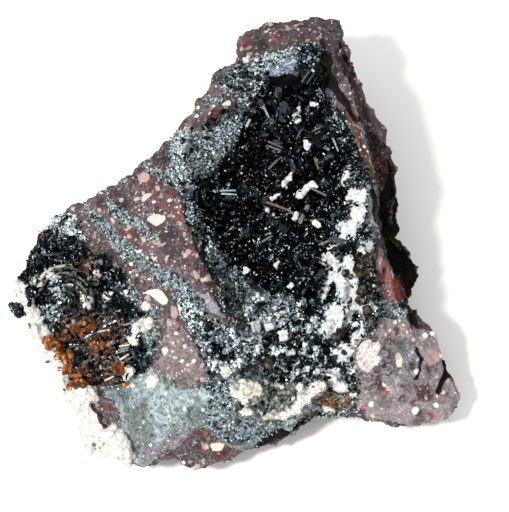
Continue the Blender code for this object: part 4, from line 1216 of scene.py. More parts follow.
# Each crystal material: its dull and its bright colour, its share of golden plates, its
# roughness, and how metallic it is
CRYSTAL_LOOKS = {
    "black hematite blades": ((0.002, 0.003, 0.003), (0.045, 0.056, 0.062), 0.004, 0.14, 0.95),
    "steel hematite plates": ((0.006, 0.010, 0.012), (0.36, 0.47, 0.50), 0.004, 0.20, 0.95),
    # Painted glints: near-white flakes that stand for the sparkle of the hematite.
    "bright sparks": ((0.36, 0.46, 0.49), (0.96, 1.0, 1.0), 0.004, 0.3, 0.1),
    "black hematite grains": ((0.002, 0.003, 0.003), (0.02, 0.026, 0.03), 0.0, 0.12, 0.8),
    "white grains": ((0.62, 0.64, 0.64), (0.95, 0.96, 0.95), 0.0, 0.4, 0.0),
    "olive grains": ((0.006, 0.005, 0.002), (0.036, 0.030, 0.010), 0.0, 0.14, 0.0),
    "grey-green grains": ((0.10, 0.11, 0.09), (0.42, 0.42, 0.33), 0.0, 0.25, 0.0),
    # Partly painted highlight: the brightest of these flakes, half diffuse, stand in for glints as
    # well as for silver hematite.
    "silver hematite flakes": ((0.055, 0.075, 0.082), (0.84, 0.98, 1.0), 0.004, 0.25, 0.45),
    "dome hematite": ((0.008, 0.011, 0.011), (0.13, 0.145, 0.13), 0.0, 0.2, 0.4),
}
minerals = {name: make_blade_material(name, *looks) for name, looks in CRYSTAL_LOOKS.items()}

VUG_DEEP = (
    ((262, 78), (318, 82), (330, 108), (346, 140), (362, 180), (358, 215), (340, 240), (326, 262),
     (318, 300), (322, 330), (300, 328), (276, 306), (262, 280), (240, 270), (222, 256), (206, 236),
     (196, 210), (194, 190), (212, 180), (226, 160), (242, 140), (250, 110)),
)
SIDE_DEEP = (
    ((22, 270), (34, 246), (60, 246), (92, 250), (112, 266), (128, 290), (134, 316), (150, 350),
     (140, 376), (120, 386), (96, 388), (74, 386), (60, 360), (46, 336), (30, 310)),
)
BRIGHT_SLOPE = (
    ((170, 140), (178, 131), (190, 130), (198, 133), (208, 133), (213, 126), (222, 127), (231, 120),
     (238, 122), (238, 134), (228, 148), (220, 158), (212, 166), (206, 176), (196, 186), (188, 190),
     (178, 188), (170, 182), (166, 176), (170, 166), (170, 152)),
    ((242, 66), (262, 58), (285, 52), (300, 48), (300, 58), (284, 62), (266, 69), (262, 76),
     (246, 80)),
)
LEFT_RIM = (
    ((188, 198), (196, 208), (204, 226), (216, 246), (230, 262), (242, 272), (250, 290), (250, 316),
     (240, 300), (236, 286), (226, 272), (212, 258), (204, 244), (194, 234), (189, 214)),
)
UPPER_RIM = (
    ((222, 84), (234, 72), (246, 62), (262, 60), (266, 74), (262, 92), (256, 110), (246, 126),
     (234, 124), (240, 110), (239, 96), (226, 94)),
)
LEDGE = (((300, 48), (314, 45), (325, 48), (322, 58), (312, 66), (300, 68)),)
RIGHT_RIM = (
    ((316, 90), (326, 96), (340, 116), (352, 136), (362, 158), (368, 180), (362, 186), (354, 166),
     (342, 144), (328, 122), (316, 104)),
)
LOWER_SILVER = (
    ((180, 302), (196, 300), (206, 318), (222, 328), (240, 332), (262, 334), (264, 348), (246, 360),
     (230, 372), (212, 372), (204, 354), (192, 332), (182, 314)),
    ((246, 296), (262, 292), (300, 296), (318, 308), (316, 330), (296, 332), (262, 324),
     (246, 322)),
    ((348, 360), (356, 362), (358, 392), (350, 396)),
    ((266, 346), (300, 340), (330, 352), (324, 372), (300, 380), (270, 374)),
    ((360, 300), (376, 292), (374, 334), (364, 346), (354, 338)),
)
FRONT_SILVER = (
    ((204, 376), (222, 376), (234, 398), (246, 414), (262, 424), (300, 424), (330, 410), (352, 402),
     (356, 410), (300, 432), (262, 440), (226, 440), (206, 424)),
)
SALT_AND_PEPPER = (
    ((34, 240), (42, 228), (53, 217), (68, 213), (80, 224), (84, 236), (76, 240), (60, 240),
     (46, 246)),
)

# Each silver zone with its weights: of teal plates, of bright flakes, of more flakes in
# bunches, of black blades, and of blades between the bunches
SILVER_GROWTH = (
    (BRIGHT_SLOPE, 0.15, 0.45, 0.0, 0.0, 0.0),
    (LEFT_RIM, 0.6, 0.45, 0.0, 0.25, 0.0),
    (UPPER_RIM, 0.6, 0.45, 0.0, 0.3, 0.0),
    (LEDGE, 0.9, 0.10, 0.0, 0.6, 0.0),
    (RIGHT_RIM, 0.4, 0.26, 0.0, 1.2, 0.0),
    (LOWER_SILVER, 0.7, 0.35, 0.8, 0.0, 0.35),
    (FRONT_SILVER, 0.35, 0.22, 0.0, 0.0, 0.0),
)

vug_ground = Ground(vug_arrays)
side_ground = Ground(side_arrays)
rock_ground = Ground(rock_arrays)


def clusters(ground, size, seed, share):
    """0 or 1 by smooth noise on each face, so that crystals grow in bunches with gaps between."""
    return (swells(ground.middles, size, seed) > 1.0 - 2.0 * share).astype(float)


def open_places(ground, weights, count, seed, *covers):
    """Places on a ground with none of it or of its covers above them, as seen from the camera."""
    places, normals = ground.scatter(weights, 3 * count, seed)
    clear = ~np.any([surface.hides(places) for surface in (ground, *covers)], axis=0)
    return places[clear][:count], normals[clear][:count]


def open_rock(weights, count, seed):
    """Places on the rock that nothing of the rock hides."""
    return open_places(rock_ground, weights, count, seed)


def open_rim(weights, count, seed):
    """Places on the rock that neither the rock nor the vug's crust hides."""
    return open_places(rock_ground, weights, count, seed, vug_ground)


def growth(ground):
    """The weights of the silver zones on the faces of one ground, by the crystal that grows there:
    teal plates, bright flakes and black blades."""
    clear = ground.up * (1.0 - zone(ground.pixels, BLUE_SHINE_OUTLINES + RIM_SHADES, 1.5))
    bunched = clusters(ground, 1.3, 91, 0.5)
    total = np.zeros((3, len(clear)))
    for outlines, plates, flakes, bunched_flakes, single, between in SILVER_GROWTH:
        marked = zone(ground.pixels, outlines, 3.0) * clear
        total[0] += plates * marked
        total[1] += (flakes + bunched_flakes * bunched) * marked
        total[2] += (single + between * (1.0 - bunched)) * marked
    return total


vug_bed = ("vug_crystal_crust", vug_ground.scatter)
side_bed = ("side_crystal_crust", side_ground.scatter)
rim_bed = ("host_rock", open_rim)
rock_bed = ("host_rock", open_rock)

deep = vug_ground.inside(VUG_DEEP, 10.0) * (1.0 - zone(vug_ground.pixels, NORTH_CLEFT_SHADOW, 1.5))
rosette = vug_ground.inside(dots((300, 275, 18)), 3.0)
lower = np.clip((vug_ground.pixels[:, 1] - SPARKS_START) / SPARKS_BAND, *SPARKS_RANGE)
vug_plates, vug_flakes, vug_blades = growth(vug_ground)
rock_plates, rock_flakes, rock_blades = growth(rock_ground)
clear_rock = rock_ground.up * (1.0 - zone(rock_ground.pixels, SHADOW_OUTLINES, 1.5))
veined = zone(rock_ground.pixels, ROCK_VEINS, 3.0) ** 2 * clear_rock
thinned = 1.0 - FROST_THINNING * zone(rock_ground.pixels, LOWER_FROST, ZONE_EDGE["frost"])
veined = veined * thinned + STRAY_VEIN * clear_rock
side_deep = side_ground.inside(SIDE_DEEP, 8.0)
domed = cap(side_ground.pixels, *SIDE_CAP[:2], 1.0) * side_ground.up
pepper = rock_ground.inside(SALT_AND_PEPPER, 2.0)
black_rim = rock_ground.inside(SIDE_SHADE, 2.0)
# The near-white sparks in these rows are painted glints.
grow_rows(
    ("vug_large_blades", "black hematite blades", vug_bed, deep + 0.01 * vug_ground.up, 950, 101,
     (2.0, 4.2), (2.6, 7.0), (0.12, 0.30), (25, 88)),
    ("vug_small_plates", "black hematite blades", vug_bed,
     deep + rosette + 0.5 * vug_blades + 0.05 * vug_ground.up, 2800, 102,
     (0.8, 1.8), (1.4, 4.0), (0.08, 0.18), (10, 85)),
    ("vug_sparks", "bright sparks", vug_bed, (deep + 0.2 * vug_ground.up) * lower, 2900, 108,
     *flake((0.26, 0.62), -1.4, (1.4, 4.0), (30, 88))),
    ("vug_teal_plates", "steel hematite plates", vug_bed, vug_plates, 2000, 103,
     (0.5, 1.2), (1.2, 3.0), (0.07, 0.15), (10, 80)),
    ("vug_glitter", "silver hematite flakes", vug_bed, vug_flakes, 7000, 104,
     *flake((0.22, 0.52))),
    ("vug_bright_glitter", "bright sparks", vug_bed, vug_flakes, 7600, 113,
     *flake((0.24, 0.60), -0.3)),
    ("rim_plates", "steel hematite plates", rim_bed, rock_plates, 1500, 109,
     (0.5, 1.2), (1.2, 3.0), (0.07, 0.15), (10, 80)),
    ("rim_blades", "black hematite blades", rim_bed, rock_blades, 1000, 110,
     (0.6, 1.4), (1.4, 4.0), (0.08, 0.18), (10, 80)),
    ("rim_glitter", "silver hematite flakes", rim_bed, rock_flakes, 3600, 111,
     *flake((0.26, 0.60))),
    ("rim_bright_glitter", "bright sparks", rim_bed, rock_flakes, 3000, 115,
     *flake((0.28, 0.64), 0.0)),
    ("vein_glitter", "silver hematite flakes", rock_bed, veined, 4200, 105,
     *flake((0.20, 0.46))),
    ("vein_bright_glitter", "bright sparks", rock_bed, veined, 2200, 114,
     *flake((0.20, 0.46), 0.0)),
    ("side_rim_blades", "black hematite blades", rock_bed, pepper + black_rim, 640, 116,
     (0.35, 0.8), (1.4, 3.0), (0.08, 0.2), (60, 88)),
    ("side_rim_glitter", "bright sparks", rock_bed, pepper * clusters(rock_ground, 0.9, 92, 0.42),
     700, 117, *flake((0.3, 0.66), -0.4, lean=(50, 88))),
    ("side_blades", "black hematite blades", side_bed, side_deep + 0.05 * side_ground.up, 600, 106,
     (1.0, 2.4), (1.6, 4.6), (0.12, 0.26), (30, 88)),
    ("side_small_plates", "steel hematite plates", side_bed, side_ground.up * (domed < 0.1),
     1400, 107, (0.45, 1.1), (1.0, 2.2), (0.07, 0.15), (10, 85)),
)


# The white and cream crusts: sugary lumps of a pale mineral grown over the rock and the
# hematite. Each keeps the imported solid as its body, and lumps strung inside outlines give the
# patches that the light catches.
LUMP_NET = 0.22
SPOT_JITTER, SPOT_INSET = 0.45, 0.3
PALE_RELIEF = ((0.20, 0.9), (0.16, 0.42), (0.14, 1.4))
PALE_EDGE, HOLE_EDGE = 3.0, 2.0
HIDDEN_PALE = 0.8
DRUSE_PATCHES = (
    ((351, 166), (347, 168), (342, 178), (339, 188), (342, 189), (346, 181), (351, 171)),
    ((344, 203), (343, 198), (348, 190), (354, 188), (360, 190), (366, 188), (367, 196), (365, 206),
     (366, 213), (363, 220), (358, 224), (356, 232), (351, 238), (343, 241), (338, 238), (340, 230),
     (337, 226), (341, 222), (349, 220), (351, 214), (350, 208), (355, 204), (352, 200)),
    ((338, 240), (334, 246), (328, 248), (326, 254), (318, 256), (322, 262), (326, 266), (334, 270),
     (341, 268), (341, 262), (336, 257), (335, 250), (342, 240)),
    ((342, 258), (350, 254), (355, 258), (354, 268), (357, 278), (361, 288), (358, 292), (360, 298),
     (356, 303), (350, 300), (346, 304), (340, 300), (336, 298), (336, 290), (336, 284), (332, 281),
     (330, 288), (327, 298), (321, 302), (319, 296), (320, 288), (326, 282), (327, 270), (333, 268),
     (341, 270), (344, 266)),
    ((324, 308), (330, 304), (340, 302), (348, 302), (346, 308), (342, 312), (344, 320), (343, 330),
     (336, 330), (334, 338), (326, 338), (320, 329), (322, 320)),
    ((359, 242), (365, 243), (371, 241), (373, 248), (369, 255), (362, 257), (358, 254)),
    ((355, 330), (362, 327), (365, 332), (358, 340), (355, 346), (352, 340)),
    ((333, 353), (342, 344), (352, 345), (355, 352), (350, 359), (341, 363), (333, 361),
     (330, 356)),
    ((325, 370), (331, 365), (338, 369), (340, 378), (348, 383), (347, 391), (336, 392), (330, 386),
     (327, 378)),
    ((306, 330), (315, 328), (326, 330), (326, 335), (318, 333), (310, 336)),
    ((346, 303), (354, 300), (360, 303), (372, 303), (375, 310), (366, 313), (357, 312), (351, 322),
     (346, 328), (344, 318)),
    *dots((281, 352, 1.6), (290, 352, 1.6), (318, 371, 1.8)),
)
DRUSE_HOLES = dots((344, 353, 3.2), (332, 290, 2.0))
FRONT_PATCHES = (
    ((220, 368), (228, 366), (232, 372), (228, 378), (221, 376)),
    ((229, 386), (236, 387), (244, 395), (251, 404), (246, 407), (238, 400), (231, 395)),
    ((236, 381), (246, 379), (258, 382), (262, 390), (258, 399), (248, 398), (240, 391)),
    ((238, 409), (250, 408), (252, 414), (242, 416)),
    ((259, 411), (266, 414), (274, 409), (284, 412), (292, 407), (298, 400), (296, 394), (304, 390),
     (311, 384), (319, 380), (327, 384), (322, 392), (312, 396), (310, 402), (303, 406), (301, 413),
     (290, 415), (286, 421), (274, 419), (264, 420)),
    *dots(
        (266, 383, 2.5), (282, 387, 2.5), (300, 387, 4.0), (293, 399, 2.0), (258, 404, 2.0),
        (276, 398, 1.6),
    ),
    ((322, 405), (332, 405), (334, 411), (324, 412)),
    ((316, 368), (320, 369), (320, 373), (316, 373)),
)
CREAM_PATCHES = (
    ((16, 282), (13, 290), (15, 297), (24, 302), (31, 309), (35, 306), (28, 298), (20, 292),
     (20, 285)),
    ((22, 318), (28, 316), (35, 325), (40, 338), (48, 350), (58, 355), (61, 366), (59, 376),
     (53, 371), (48, 362), (40, 352), (34, 340), (28, 330)),
    ((60, 380), (66, 380), (76, 388), (80, 396), (84, 398), (82, 410), (76, 413), (70, 404),
     (66, 394)),
    ((82, 389), (92, 386), (99, 391), (98, 401), (90, 405), (83, 401)),
    ((80, 418), (96, 414), (108, 420), (112, 434), (106, 446), (94, 452), (86, 450), (80, 438)),
    ((108, 440), (122, 434), (134, 456), (128, 468), (114, 460), (104, 456)),
    *dots((115, 428, 3.2), (121, 430, 2.6)),
)
KNOB_PATCHES = (
    ((358, 350), (361, 344), (364, 341), (370, 339), (373, 343), (378, 341), (382, 346), (380, 350),
     (378, 354), (381, 359), (378, 365), (372, 368), (368, 373), (362, 371), (358, 364),
     (356, 357)),
)
# Windows where the cream crust is bare; the two at its outer edge paint the shade along that edge.
CREAM_WINDOWS = (
    ((100, 398), (109, 402), (113, 410), (111, 424), (104, 430), (98, 420), (96, 410)),
    *dots((94, 445, 2.4), (104, 444, 1.4), (29, 326, 3.0), (48, 363, 3.0)),
)


def lumps_mesh(places, radii):
    """A mesh of round lumps: one small ball of 42 points copied to each place at its own size."""
    ball, sides = ball_arrays(2)
    points = (places[:, None] + radii[:, None, None] * ball[None]).reshape(-1, 3)
    faces = (len(ball) * np.arange(len(places))[:, None, None] + sides[None]).reshape(-1, 3)
    mesh = bpy.data.meshes.new("lumps")
    mesh.from_pydata((points * MM).tolist(), [], faces.tolist())
    return mesh


def fill_patches(ground, patches, spacing, radius, seed, rise=0.1, lift=0.0):
    """A mesh of lumps that fill outlines: jittered spots on a grid of pixels inside each outline,
    dropped along their lines of sight onto the ground, each with a size between two bounds,
    raised along the normal by a share of that size and towards the camera by the lift."""
    picker = np.random.default_rng(seed)
    places, radii = [], []
    for patch in patches:
        low, high = np.min(patch, axis=0), np.max(patch, axis=0)
        steps = [np.arange(low[axis], high[axis] + spacing, spacing) for axis in (0, 1)]
        grid = np.stack(np.meshgrid(*steps), -1).reshape(-1, 2)
        spots = grid + picker.uniform(-SPOT_JITTER, SPOT_JITTER, grid.shape) * spacing
        spots = spots[inset(spots, patch) > SPOT_INSET]
        if not len(spots):
            spots = np.array([np.mean(patch, axis=0)])
        for spot in spots:
            place, normal = ground.under(spot)
            if place is None:
                continue
            size = picker.uniform(*radius)
            places.append(place + normal * rise * size + TO_CAMERA * lift)
            radii.append(size)
    return lumps_mesh(np.array(places), np.array(radii))


def make_crust_material(name, pale, shadow, stain, stain_share, bare, metal):
    """Sugary pale crust: white grains that darken in their joints, with patches of stain, and
    bare crystal where the mark is low."""
    material, tree, shader, place = new_material(name)
    shadow = tone(*shadow)
    grains = add_group(tree, crystal_grains, {"Place": place, "Size": 0.40, "Tilt": 0.9})
    fine = add_noise(tree, place, 0.45, 5.0, 0.7)
    colour = add_mix(tree, add_ramp(tree, fine, 0.34, 0.60), shadow, tone(*pale))
    stained = add_ramp(tree, add_noise(tree, place, 2.2), 0.68 - stain_share, 0.74 - stain_share)
    colour = add_mix(tree, stained, colour, tone(*stain))
    joint = add_ramp(tree, grains["Edge"], 0.0, 0.12, 0.45, 0.0)
    colour = add_mix(tree, joint, colour, shadow)
    white = add_ragged(tree, "white", place, 0.7, 1.3)
    dim = tone(*(0.15 * level for level in bare))
    ground = add_mix(tree, add_ramp(tree, grains["Value"], 0.3, 0.9), dim, tone(*bare))
    colour = add_mix(tree, white, ground, colour)
    roughness = add_mix(tree, white, 0.26, 0.42, "FLOAT")
    metallic = add_mix(tree, white, metal, 0.0, "FLOAT")
    set_shader(tree, shader, colour, roughness, metallic, fine, 0.28, grains["Normal"])
    shader.inputs["Specular IOR Level"].default_value = 0.3
    return material


def pale_relief(points, kinds, seed):
    """How far to move each point: chips of the first kind and swells of the others, each kind with
    a height and a size."""
    (height, size), *rounded = kinds
    relief = height * chips(points, size, seed)[0]
    for step, (height, size) in enumerate(rounded, 1):
        relief = relief + height * swells(points, size, seed + step)
    return relief


def dress_white_crust(node, name, patches, spacing, radius, seed, material, wider=0.0, holes=(),
                      net=LUMP_NET):
    """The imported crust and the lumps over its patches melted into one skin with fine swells.
    The patches are pale, a little wider than their outlines where that is given, and bare in
    the holes."""
    lumps = fill_patches(whole_ground, patches, spacing, radius, seed)
    points, normals, faces = fine_net([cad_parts[node].data, lumps], net)
    bpy.data.meshes.remove(lumps)
    points = points + normals * pale_relief(points, PALE_RELIEF, seed)[:, None]
    pixels = pixels_of(points)
    white = zone(pixels, patches, PALE_EDGE) + wider / (2.0 * PALE_EDGE)
    white = np.where(normals @ TO_CAMERA > 0.0, np.clip(white, 0.0, 1.0), HIDDEN_PALE)
    if holes:
        white = np.minimum(white, 1.0 - zone(pixels, holes, HOLE_EDGE))
    crust = new_piece(name, points, [faces], crusts[material], marks={"white": white})
    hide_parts(node)
    return points, faces


def node_arrays(name):
    """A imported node's own points in millimetres and its triangles."""
    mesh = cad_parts[name].data
    mesh.calc_loop_triangles()
    points = np.array([vertex.co for vertex in mesh.vertices]) / MM
    return points, np.array([triangle.vertices for triangle in mesh.loop_triangles])


# Each crust material: its pale, shadow and stain colours, the stain's share, and the
# colour and metal of its bare crystal
CRUST_LOOKS = {
    "white druse": ((0.90, 0.90, 0.88), (0.48, 0.50, 0.50), (0.66, 0.58, 0.48), 0.0,
                    (0.05, 0.06, 0.065), 0.6),
    "cream front crust": ((0.85, 0.84, 0.76), (0.42, 0.43, 0.38), (0.62, 0.56, 0.36), 0.12,
                          (0.40, 0.48, 0.49), 0.6),
    "cream side crust": ((0.80, 0.78, 0.73), (0.50, 0.47, 0.43), (0.72, 0.66, 0.52), 0.06,
                         (0.27, 0.22, 0.24), 0.0),
    "pink and white knob": ((0.84, 0.80, 0.79), (0.38, 0.29, 0.28), (0.50, 0.34, 0.31), 0.09,
                            (0.34, 0.28, 0.29), 0.0),
}
crusts = {name: make_crust_material(name, *looks) for name, looks in CRUST_LOOKS.items()}

druse_arrays, front_arrays, cream_arrays, knob_arrays = (node_arrays(name) for name in (
    "white_druse_crust", "front_white_crust", "cream_side_crust", "pink_white_knob"))
whole_ground = Ground(rock_arrays, vug_arrays, side_arrays, druse_arrays, front_arrays,
                      cream_arrays, knob_arrays)
druse_ground = Ground(dress_white_crust(
    "white_druse_crust", "white_druse", DRUSE_PATCHES, 2.2, (0.24, 0.50), 301, "white druse",
    wider=1.6, holes=DRUSE_HOLES))
dress_white_crust("front_white_crust", "front_cream_crust", FRONT_PATCHES, 3.2, (0.35, 0.8), 302,
                  "cream front crust")
dress_white_crust("cream_side_crust", "cream_side", CREAM_PATCHES, 3.4, (0.35, 0.75), 303,
                  "cream side crust", wider=40.0, holes=CREAM_WINDOWS, net=0.25)
dress_white_crust("pink_white_knob", "pink_white_knob_skin", KNOB_PATCHES, 3.6, (0.4, 0.95), 304,
                  "pink and white knob")


# Hematite crystals on the bare ground between the white druse's patches, and rounded grains of
# hematite, white mineral and olive and grey-green stained mineral over the vug's lower end.
BLACK_MASSES = (
    ((262, 340), (290, 338), (318, 338), (334, 346), (334, 362), (320, 374), (300, 380), (280, 380),
     (264, 374), (256, 356)),
    ((214, 346), (232, 346), (234, 360), (222, 364), (214, 358)),
    ((203, 318), (212, 320), (212, 344), (204, 344)),
)
GREY_GREEN = (
    ((234, 376), (256, 376), (268, 384), (300, 384), (306, 398), (290, 412), (270, 414), (262, 404),
     (250, 402), (240, 390)),
)
OLIVE_SPOTS = dots(
    (362, 262, 5), (352, 275, 2.5), (369, 275, 5), (371, 289, 6), (366, 300, 4), (370, 315, 3),
    (268, 362, 4), (251, 368, 3), (241, 406, 2.5), (341, 332, 3.5),
)

druse_bed = ("white_druse_crust", druse_ground.scatter)
bare = (1.0 - zone(druse_ground.pixels, DRUSE_PATCHES, 2.5)) * druse_ground.up
grow_rows(
    ("druse_blades", "black hematite blades", druse_bed, bare, 620, 141,
     (0.6, 1.4), (1.4, 3.6), (0.08, 0.18), (10, 80)),
    ("druse_plates", "steel hematite plates", druse_bed, bare, 500, 142,
     (0.4, 1.1), (1.2, 3.0), (0.07, 0.14), (10, 80)),
    # Near-white sparks on the bare crust: painted glints.
    ("druse_sparks", "bright sparks", druse_bed, bare, 900, 143, *flake((0.24, 0.5))),
)
mixed_ground = Ground(rock_arrays, vug_arrays, front_arrays, druse_arrays)


def grain_rows(*rows):
    """One piece of grains a row, on whichever surface is uppermost inside its outlines: its name,
    material, slot, outlines, count and seed, the size, seed and share of its bunches, its radius
    and its rise. The slot is not used."""
    for name, material, slot, outlines, count, seed, bunch, radius, rise in rows:
        weights = mixed_ground.inside(outlines, 1.5)
        if bunch:
            weights = weights * clusters(mixed_ground, *bunch)
        places, normals = open_places(mixed_ground, weights, count, seed)
        grow_grains(name, material, places, normals, seed + GROWTH_SEED_STEP, radius, rise)


grain_rows(
    ("silver_grains", "silver hematite flakes", "vug_crystal_crust", LOWER_SILVER, 880, 151,
     (1.6, 93, 0.5), (0.18, 0.42), 0.3),
    ("white_grains", "white grains", "vug_crystal_crust", LOWER_SILVER, 420, 152,
     (1.8, 94, 0.4), (0.16, 0.42), 0.7),
    ("black_masses", "black hematite grains", "vug_crystal_crust", BLACK_MASSES, 190, 153,
     None, (0.32, 0.72), 0.5),
    ("grey_green_grains", "grey-green grains", "front_white_crust", GREY_GREEN, 120, 154,
     (2.0, 95, 0.5), (0.28, 0.6), 0.3),
    ("olive_grains", "olive grains", "white_druse_crust", OLIVE_SPOTS, 60, 155,
     None, (0.5, 0.95), 0.8),
)


# White flecks, and laths in amber, grey, blue, white and silver, that stand loose among the
# vug's black blades: small late crystals of the white mineral, and thin hematite plates.
FLECK_PATCHES = (
    ((243, 60), (249, 58), (251, 62), (245, 64)), ((254, 59), (261, 60), (257, 63)),
    ((302, 103), (297, 108), (294, 116), (293, 121), (296, 125), (301, 122), (299, 116),
     (300, 107)),
    ((310, 103), (318, 104), (318, 107), (311, 107)),
    ((303, 140), (310, 143), (311, 149), (307, 151), (303, 145)),
    ((289, 173), (293, 174), (292, 180), (287, 183), (286, 190), (284, 188), (282, 184),
     (284, 178)),
    ((310, 182), (315, 184), (317, 188), (310, 188), (305, 195), (301, 199), (296, 199), (298, 195),
     (298, 190), (304, 187)),
    ((275, 194), (282, 194), (276, 198), (272, 201), (268, 200)),
    ((262, 209), (268, 210), (273, 213), (274, 216), (267, 214)),
    ((296, 211), (298, 216), (294, 222), (292, 220)),
    ((269, 267), (274, 272), (278, 268), (279, 261), (276, 262), (272, 270), (264, 268)),
    ((243, 268), (247, 266), (250, 273), (244, 274)),
    ((290, 282), (294, 284), (291, 289), (287, 286)),
    ((250, 322), (259, 321), (260, 331), (252, 332)),
    ((264, 323), (273, 322), (273, 330), (266, 330)),
    ((277, 331), (286, 330), (288, 341), (280, 342)),
    ((280, 349), (286, 349), (286, 355), (280, 354)),
    ((287, 350), (295, 350), (294, 354), (287, 354)),
    ((296, 384), (301, 382), (304, 390), (298, 391)),
)
LAID_LATHS = (
    ((266, 202), (287, 210), 0.50, "amber"), ((287, 209), (299, 220), 0.40, "amber"),
    ((314, 158), (318, 170), 0.55, "amber"), ((262, 103), (262, 110), 1.3, "amber"),
    ((263, 106), (269, 119), 0.5, "grey"), ((220, 191), (236, 191), 0.35, "blue"),
    ((221, 194), (237, 195), 0.35, "blue"), ((312, 221), (320, 227), 1.3, "white"),
    ((299, 224), (308, 205), 0.9, "grey"), ((264, 141), (284, 149), 0.35, "grey"),
    ((266, 146), (286, 153), 0.3, "grey"), ((310, 133), (321, 128), 0.3, "grey"),
    ((311, 136), (320, 132), 0.3, "grey"), ((332, 139), (338, 152), 0.35, "blue"),
    ((268, 170), (278, 160), 0.45, "grey"), ((276, 118), (280, 104), 0.4, "grey"),
    ((301, 84), (309, 72), 0.4, "grey"), ((306, 86), (314, 74), 0.4, "grey"),
    ((300, 132), (296, 140), 0.3, "grey"), ((318, 245), (336, 238), 0.4, "amber"),
    ((262, 242), (272, 236), 0.4, "grey"), ((284, 226), (276, 244), 0.45, "grey"),
    ((305, 186), (326, 196), 0.4, "grey"), ((246, 128), (250, 120), 0.5, "silver"),
)
LATH_ROUGHNESS = (0.22, 0.396)
LATH_LEVELLING = 0.6
LATH_NARROWING = 0.75
FLECK_NET, FLECK_RISE = 0.18, 0.25
LUMP_RELIEF = ((0.10, 0.7), (0.08, 0.4))


def make_lath_material(name, colour, deep, metallic):
    """A thin crystal with lines along it that go from its deep colour to its own."""
    material, tree, shader, _ = new_material(name)
    lines = add_lines(tree, (0.8, 7.0, 1.0), 1.3, 4.0)
    mixed = add_mix(tree, add_ramp(tree, lines, 0.35, 0.62), tone(*deep), tone(*colour))
    roughness = add_ramp(tree, lines, 0.3, 0.7, *LATH_ROUGHNESS)
    set_shader(tree, shader, mixed, roughness, metallic, lines, 0.06)
    return material


# Each kind of lath: the name of its material, its colour, its deep colour, and its metal
LATH_LOOKS = {
    "amber": ("amber laths", (0.17, 0.105, 0.03), (0.03, 0.018, 0.006), 0.2),
    "grey": ("grey laths", (0.15, 0.16, 0.16), (0.010, 0.011, 0.011), 0.5),
    "blue": ("bluish laths", (0.42, 0.54, 0.64), (0.02, 0.03, 0.04), 0.6),
    "white": ("bright plate", (0.95, 0.93, 0.86), (0.70, 0.62, 0.40), 0.0),
    "silver": ("silver laths", (0.80, 0.92, 0.92), (0.2, 0.24, 0.24), 0.5),
    "cream": ("cream laths", (0.74, 0.70, 0.56), (0.24, 0.22, 0.15), 0.0),
    "olive": ("olive rim", (0.44, 0.42, 0.31), (0.10, 0.10, 0.07), 0.0),
}
lath_materials = {kind: make_lath_material(*looks) for kind, looks in LATH_LOOKS.items()}


def lay_laths(name, ground, laths, thickness, lift):
    """Thin plates laid between two pixels each. Both ends are dropped along their lines of sight
    and then raised towards the camera by the lift, and the plate faces halfway between the
    ground's normal and the camera, so that it leans among the blades."""
    for kind in sorted({lath[3] for lath in laths}):
        rows = []
        for start, end, width, lath_kind in laths:
            first, normal = ground.under(start)
            last, _ = ground.under(end)
            if lath_kind != kind or first is None or last is None:
                continue
            depth = max(first @ TO_CAMERA, last @ TO_CAMERA)
            first = first + TO_CAMERA * LATH_LEVELLING * (depth - first @ TO_CAMERA)
            last = last + TO_CAMERA * LATH_LEVELLING * (depth - last @ TO_CAMERA)
            axis = unit((last - first)[None])[0]
            side = unit(np.cross(normal + TO_CAMERA, axis)[None])[0]
            rows.append(((first + last) / 2.0 + TO_CAMERA * lift, axis, side,
                         np.linalg.norm(last - first), LATH_NARROWING * width, thickness))
        points, faces, uvs = plate_arrays(*map(np.array, zip(*rows)), 0.5)
        new_piece(f"{name}_{kind}", points, faces, lath_materials[kind], smooth=False,
                  uvs=uvs)


def lay_lumps(name, patches, spacing, radius, seed, material, net, lift=0.0):
    """Lumps inside outlines melted into one skin, all of it pale."""
    lumps = fill_patches(whole_ground, patches, spacing, radius, seed, FLECK_RISE, lift)
    points, normals, faces = fine_net([lumps], net)
    bpy.data.meshes.remove(lumps)
    points = points + normals * pale_relief(points, LUMP_RELIEF, seed)[:, None]
    new_piece(name, points, [faces], crusts[material], marks={"white": np.ones(len(points))})


lay_lumps("vug_white_flecks", FLECK_PATCHES, 1.8, (0.24, 0.44), 311, "white druse",
          FLECK_NET, lift=1.9)
lay_laths("vug_laths", whole_ground, LAID_LATHS, 0.22, 1.8)


# The side hollow: a low dome of layered hematite leaves, orange iron-stained crystals with grey
# laths among them below it, and cream lumps of the pale mineral on and around both.
DOME_SQUASH = 0.95
ARC_STEPS = 14
LEAF_SINK, LEAF_TIP = 0.4, 0.15
LEAF_SMOOTHINGS, LEAF_TAPER = 3, 0.4
LEAF_STRETCH = (0.7, 1.2)
LUMP_CLEARANCE = 0.4
DOME_RIM = ((32, 286), (37, 279), (44, 273), (51, 269), (58, 267), (65, 266), (72, 266))
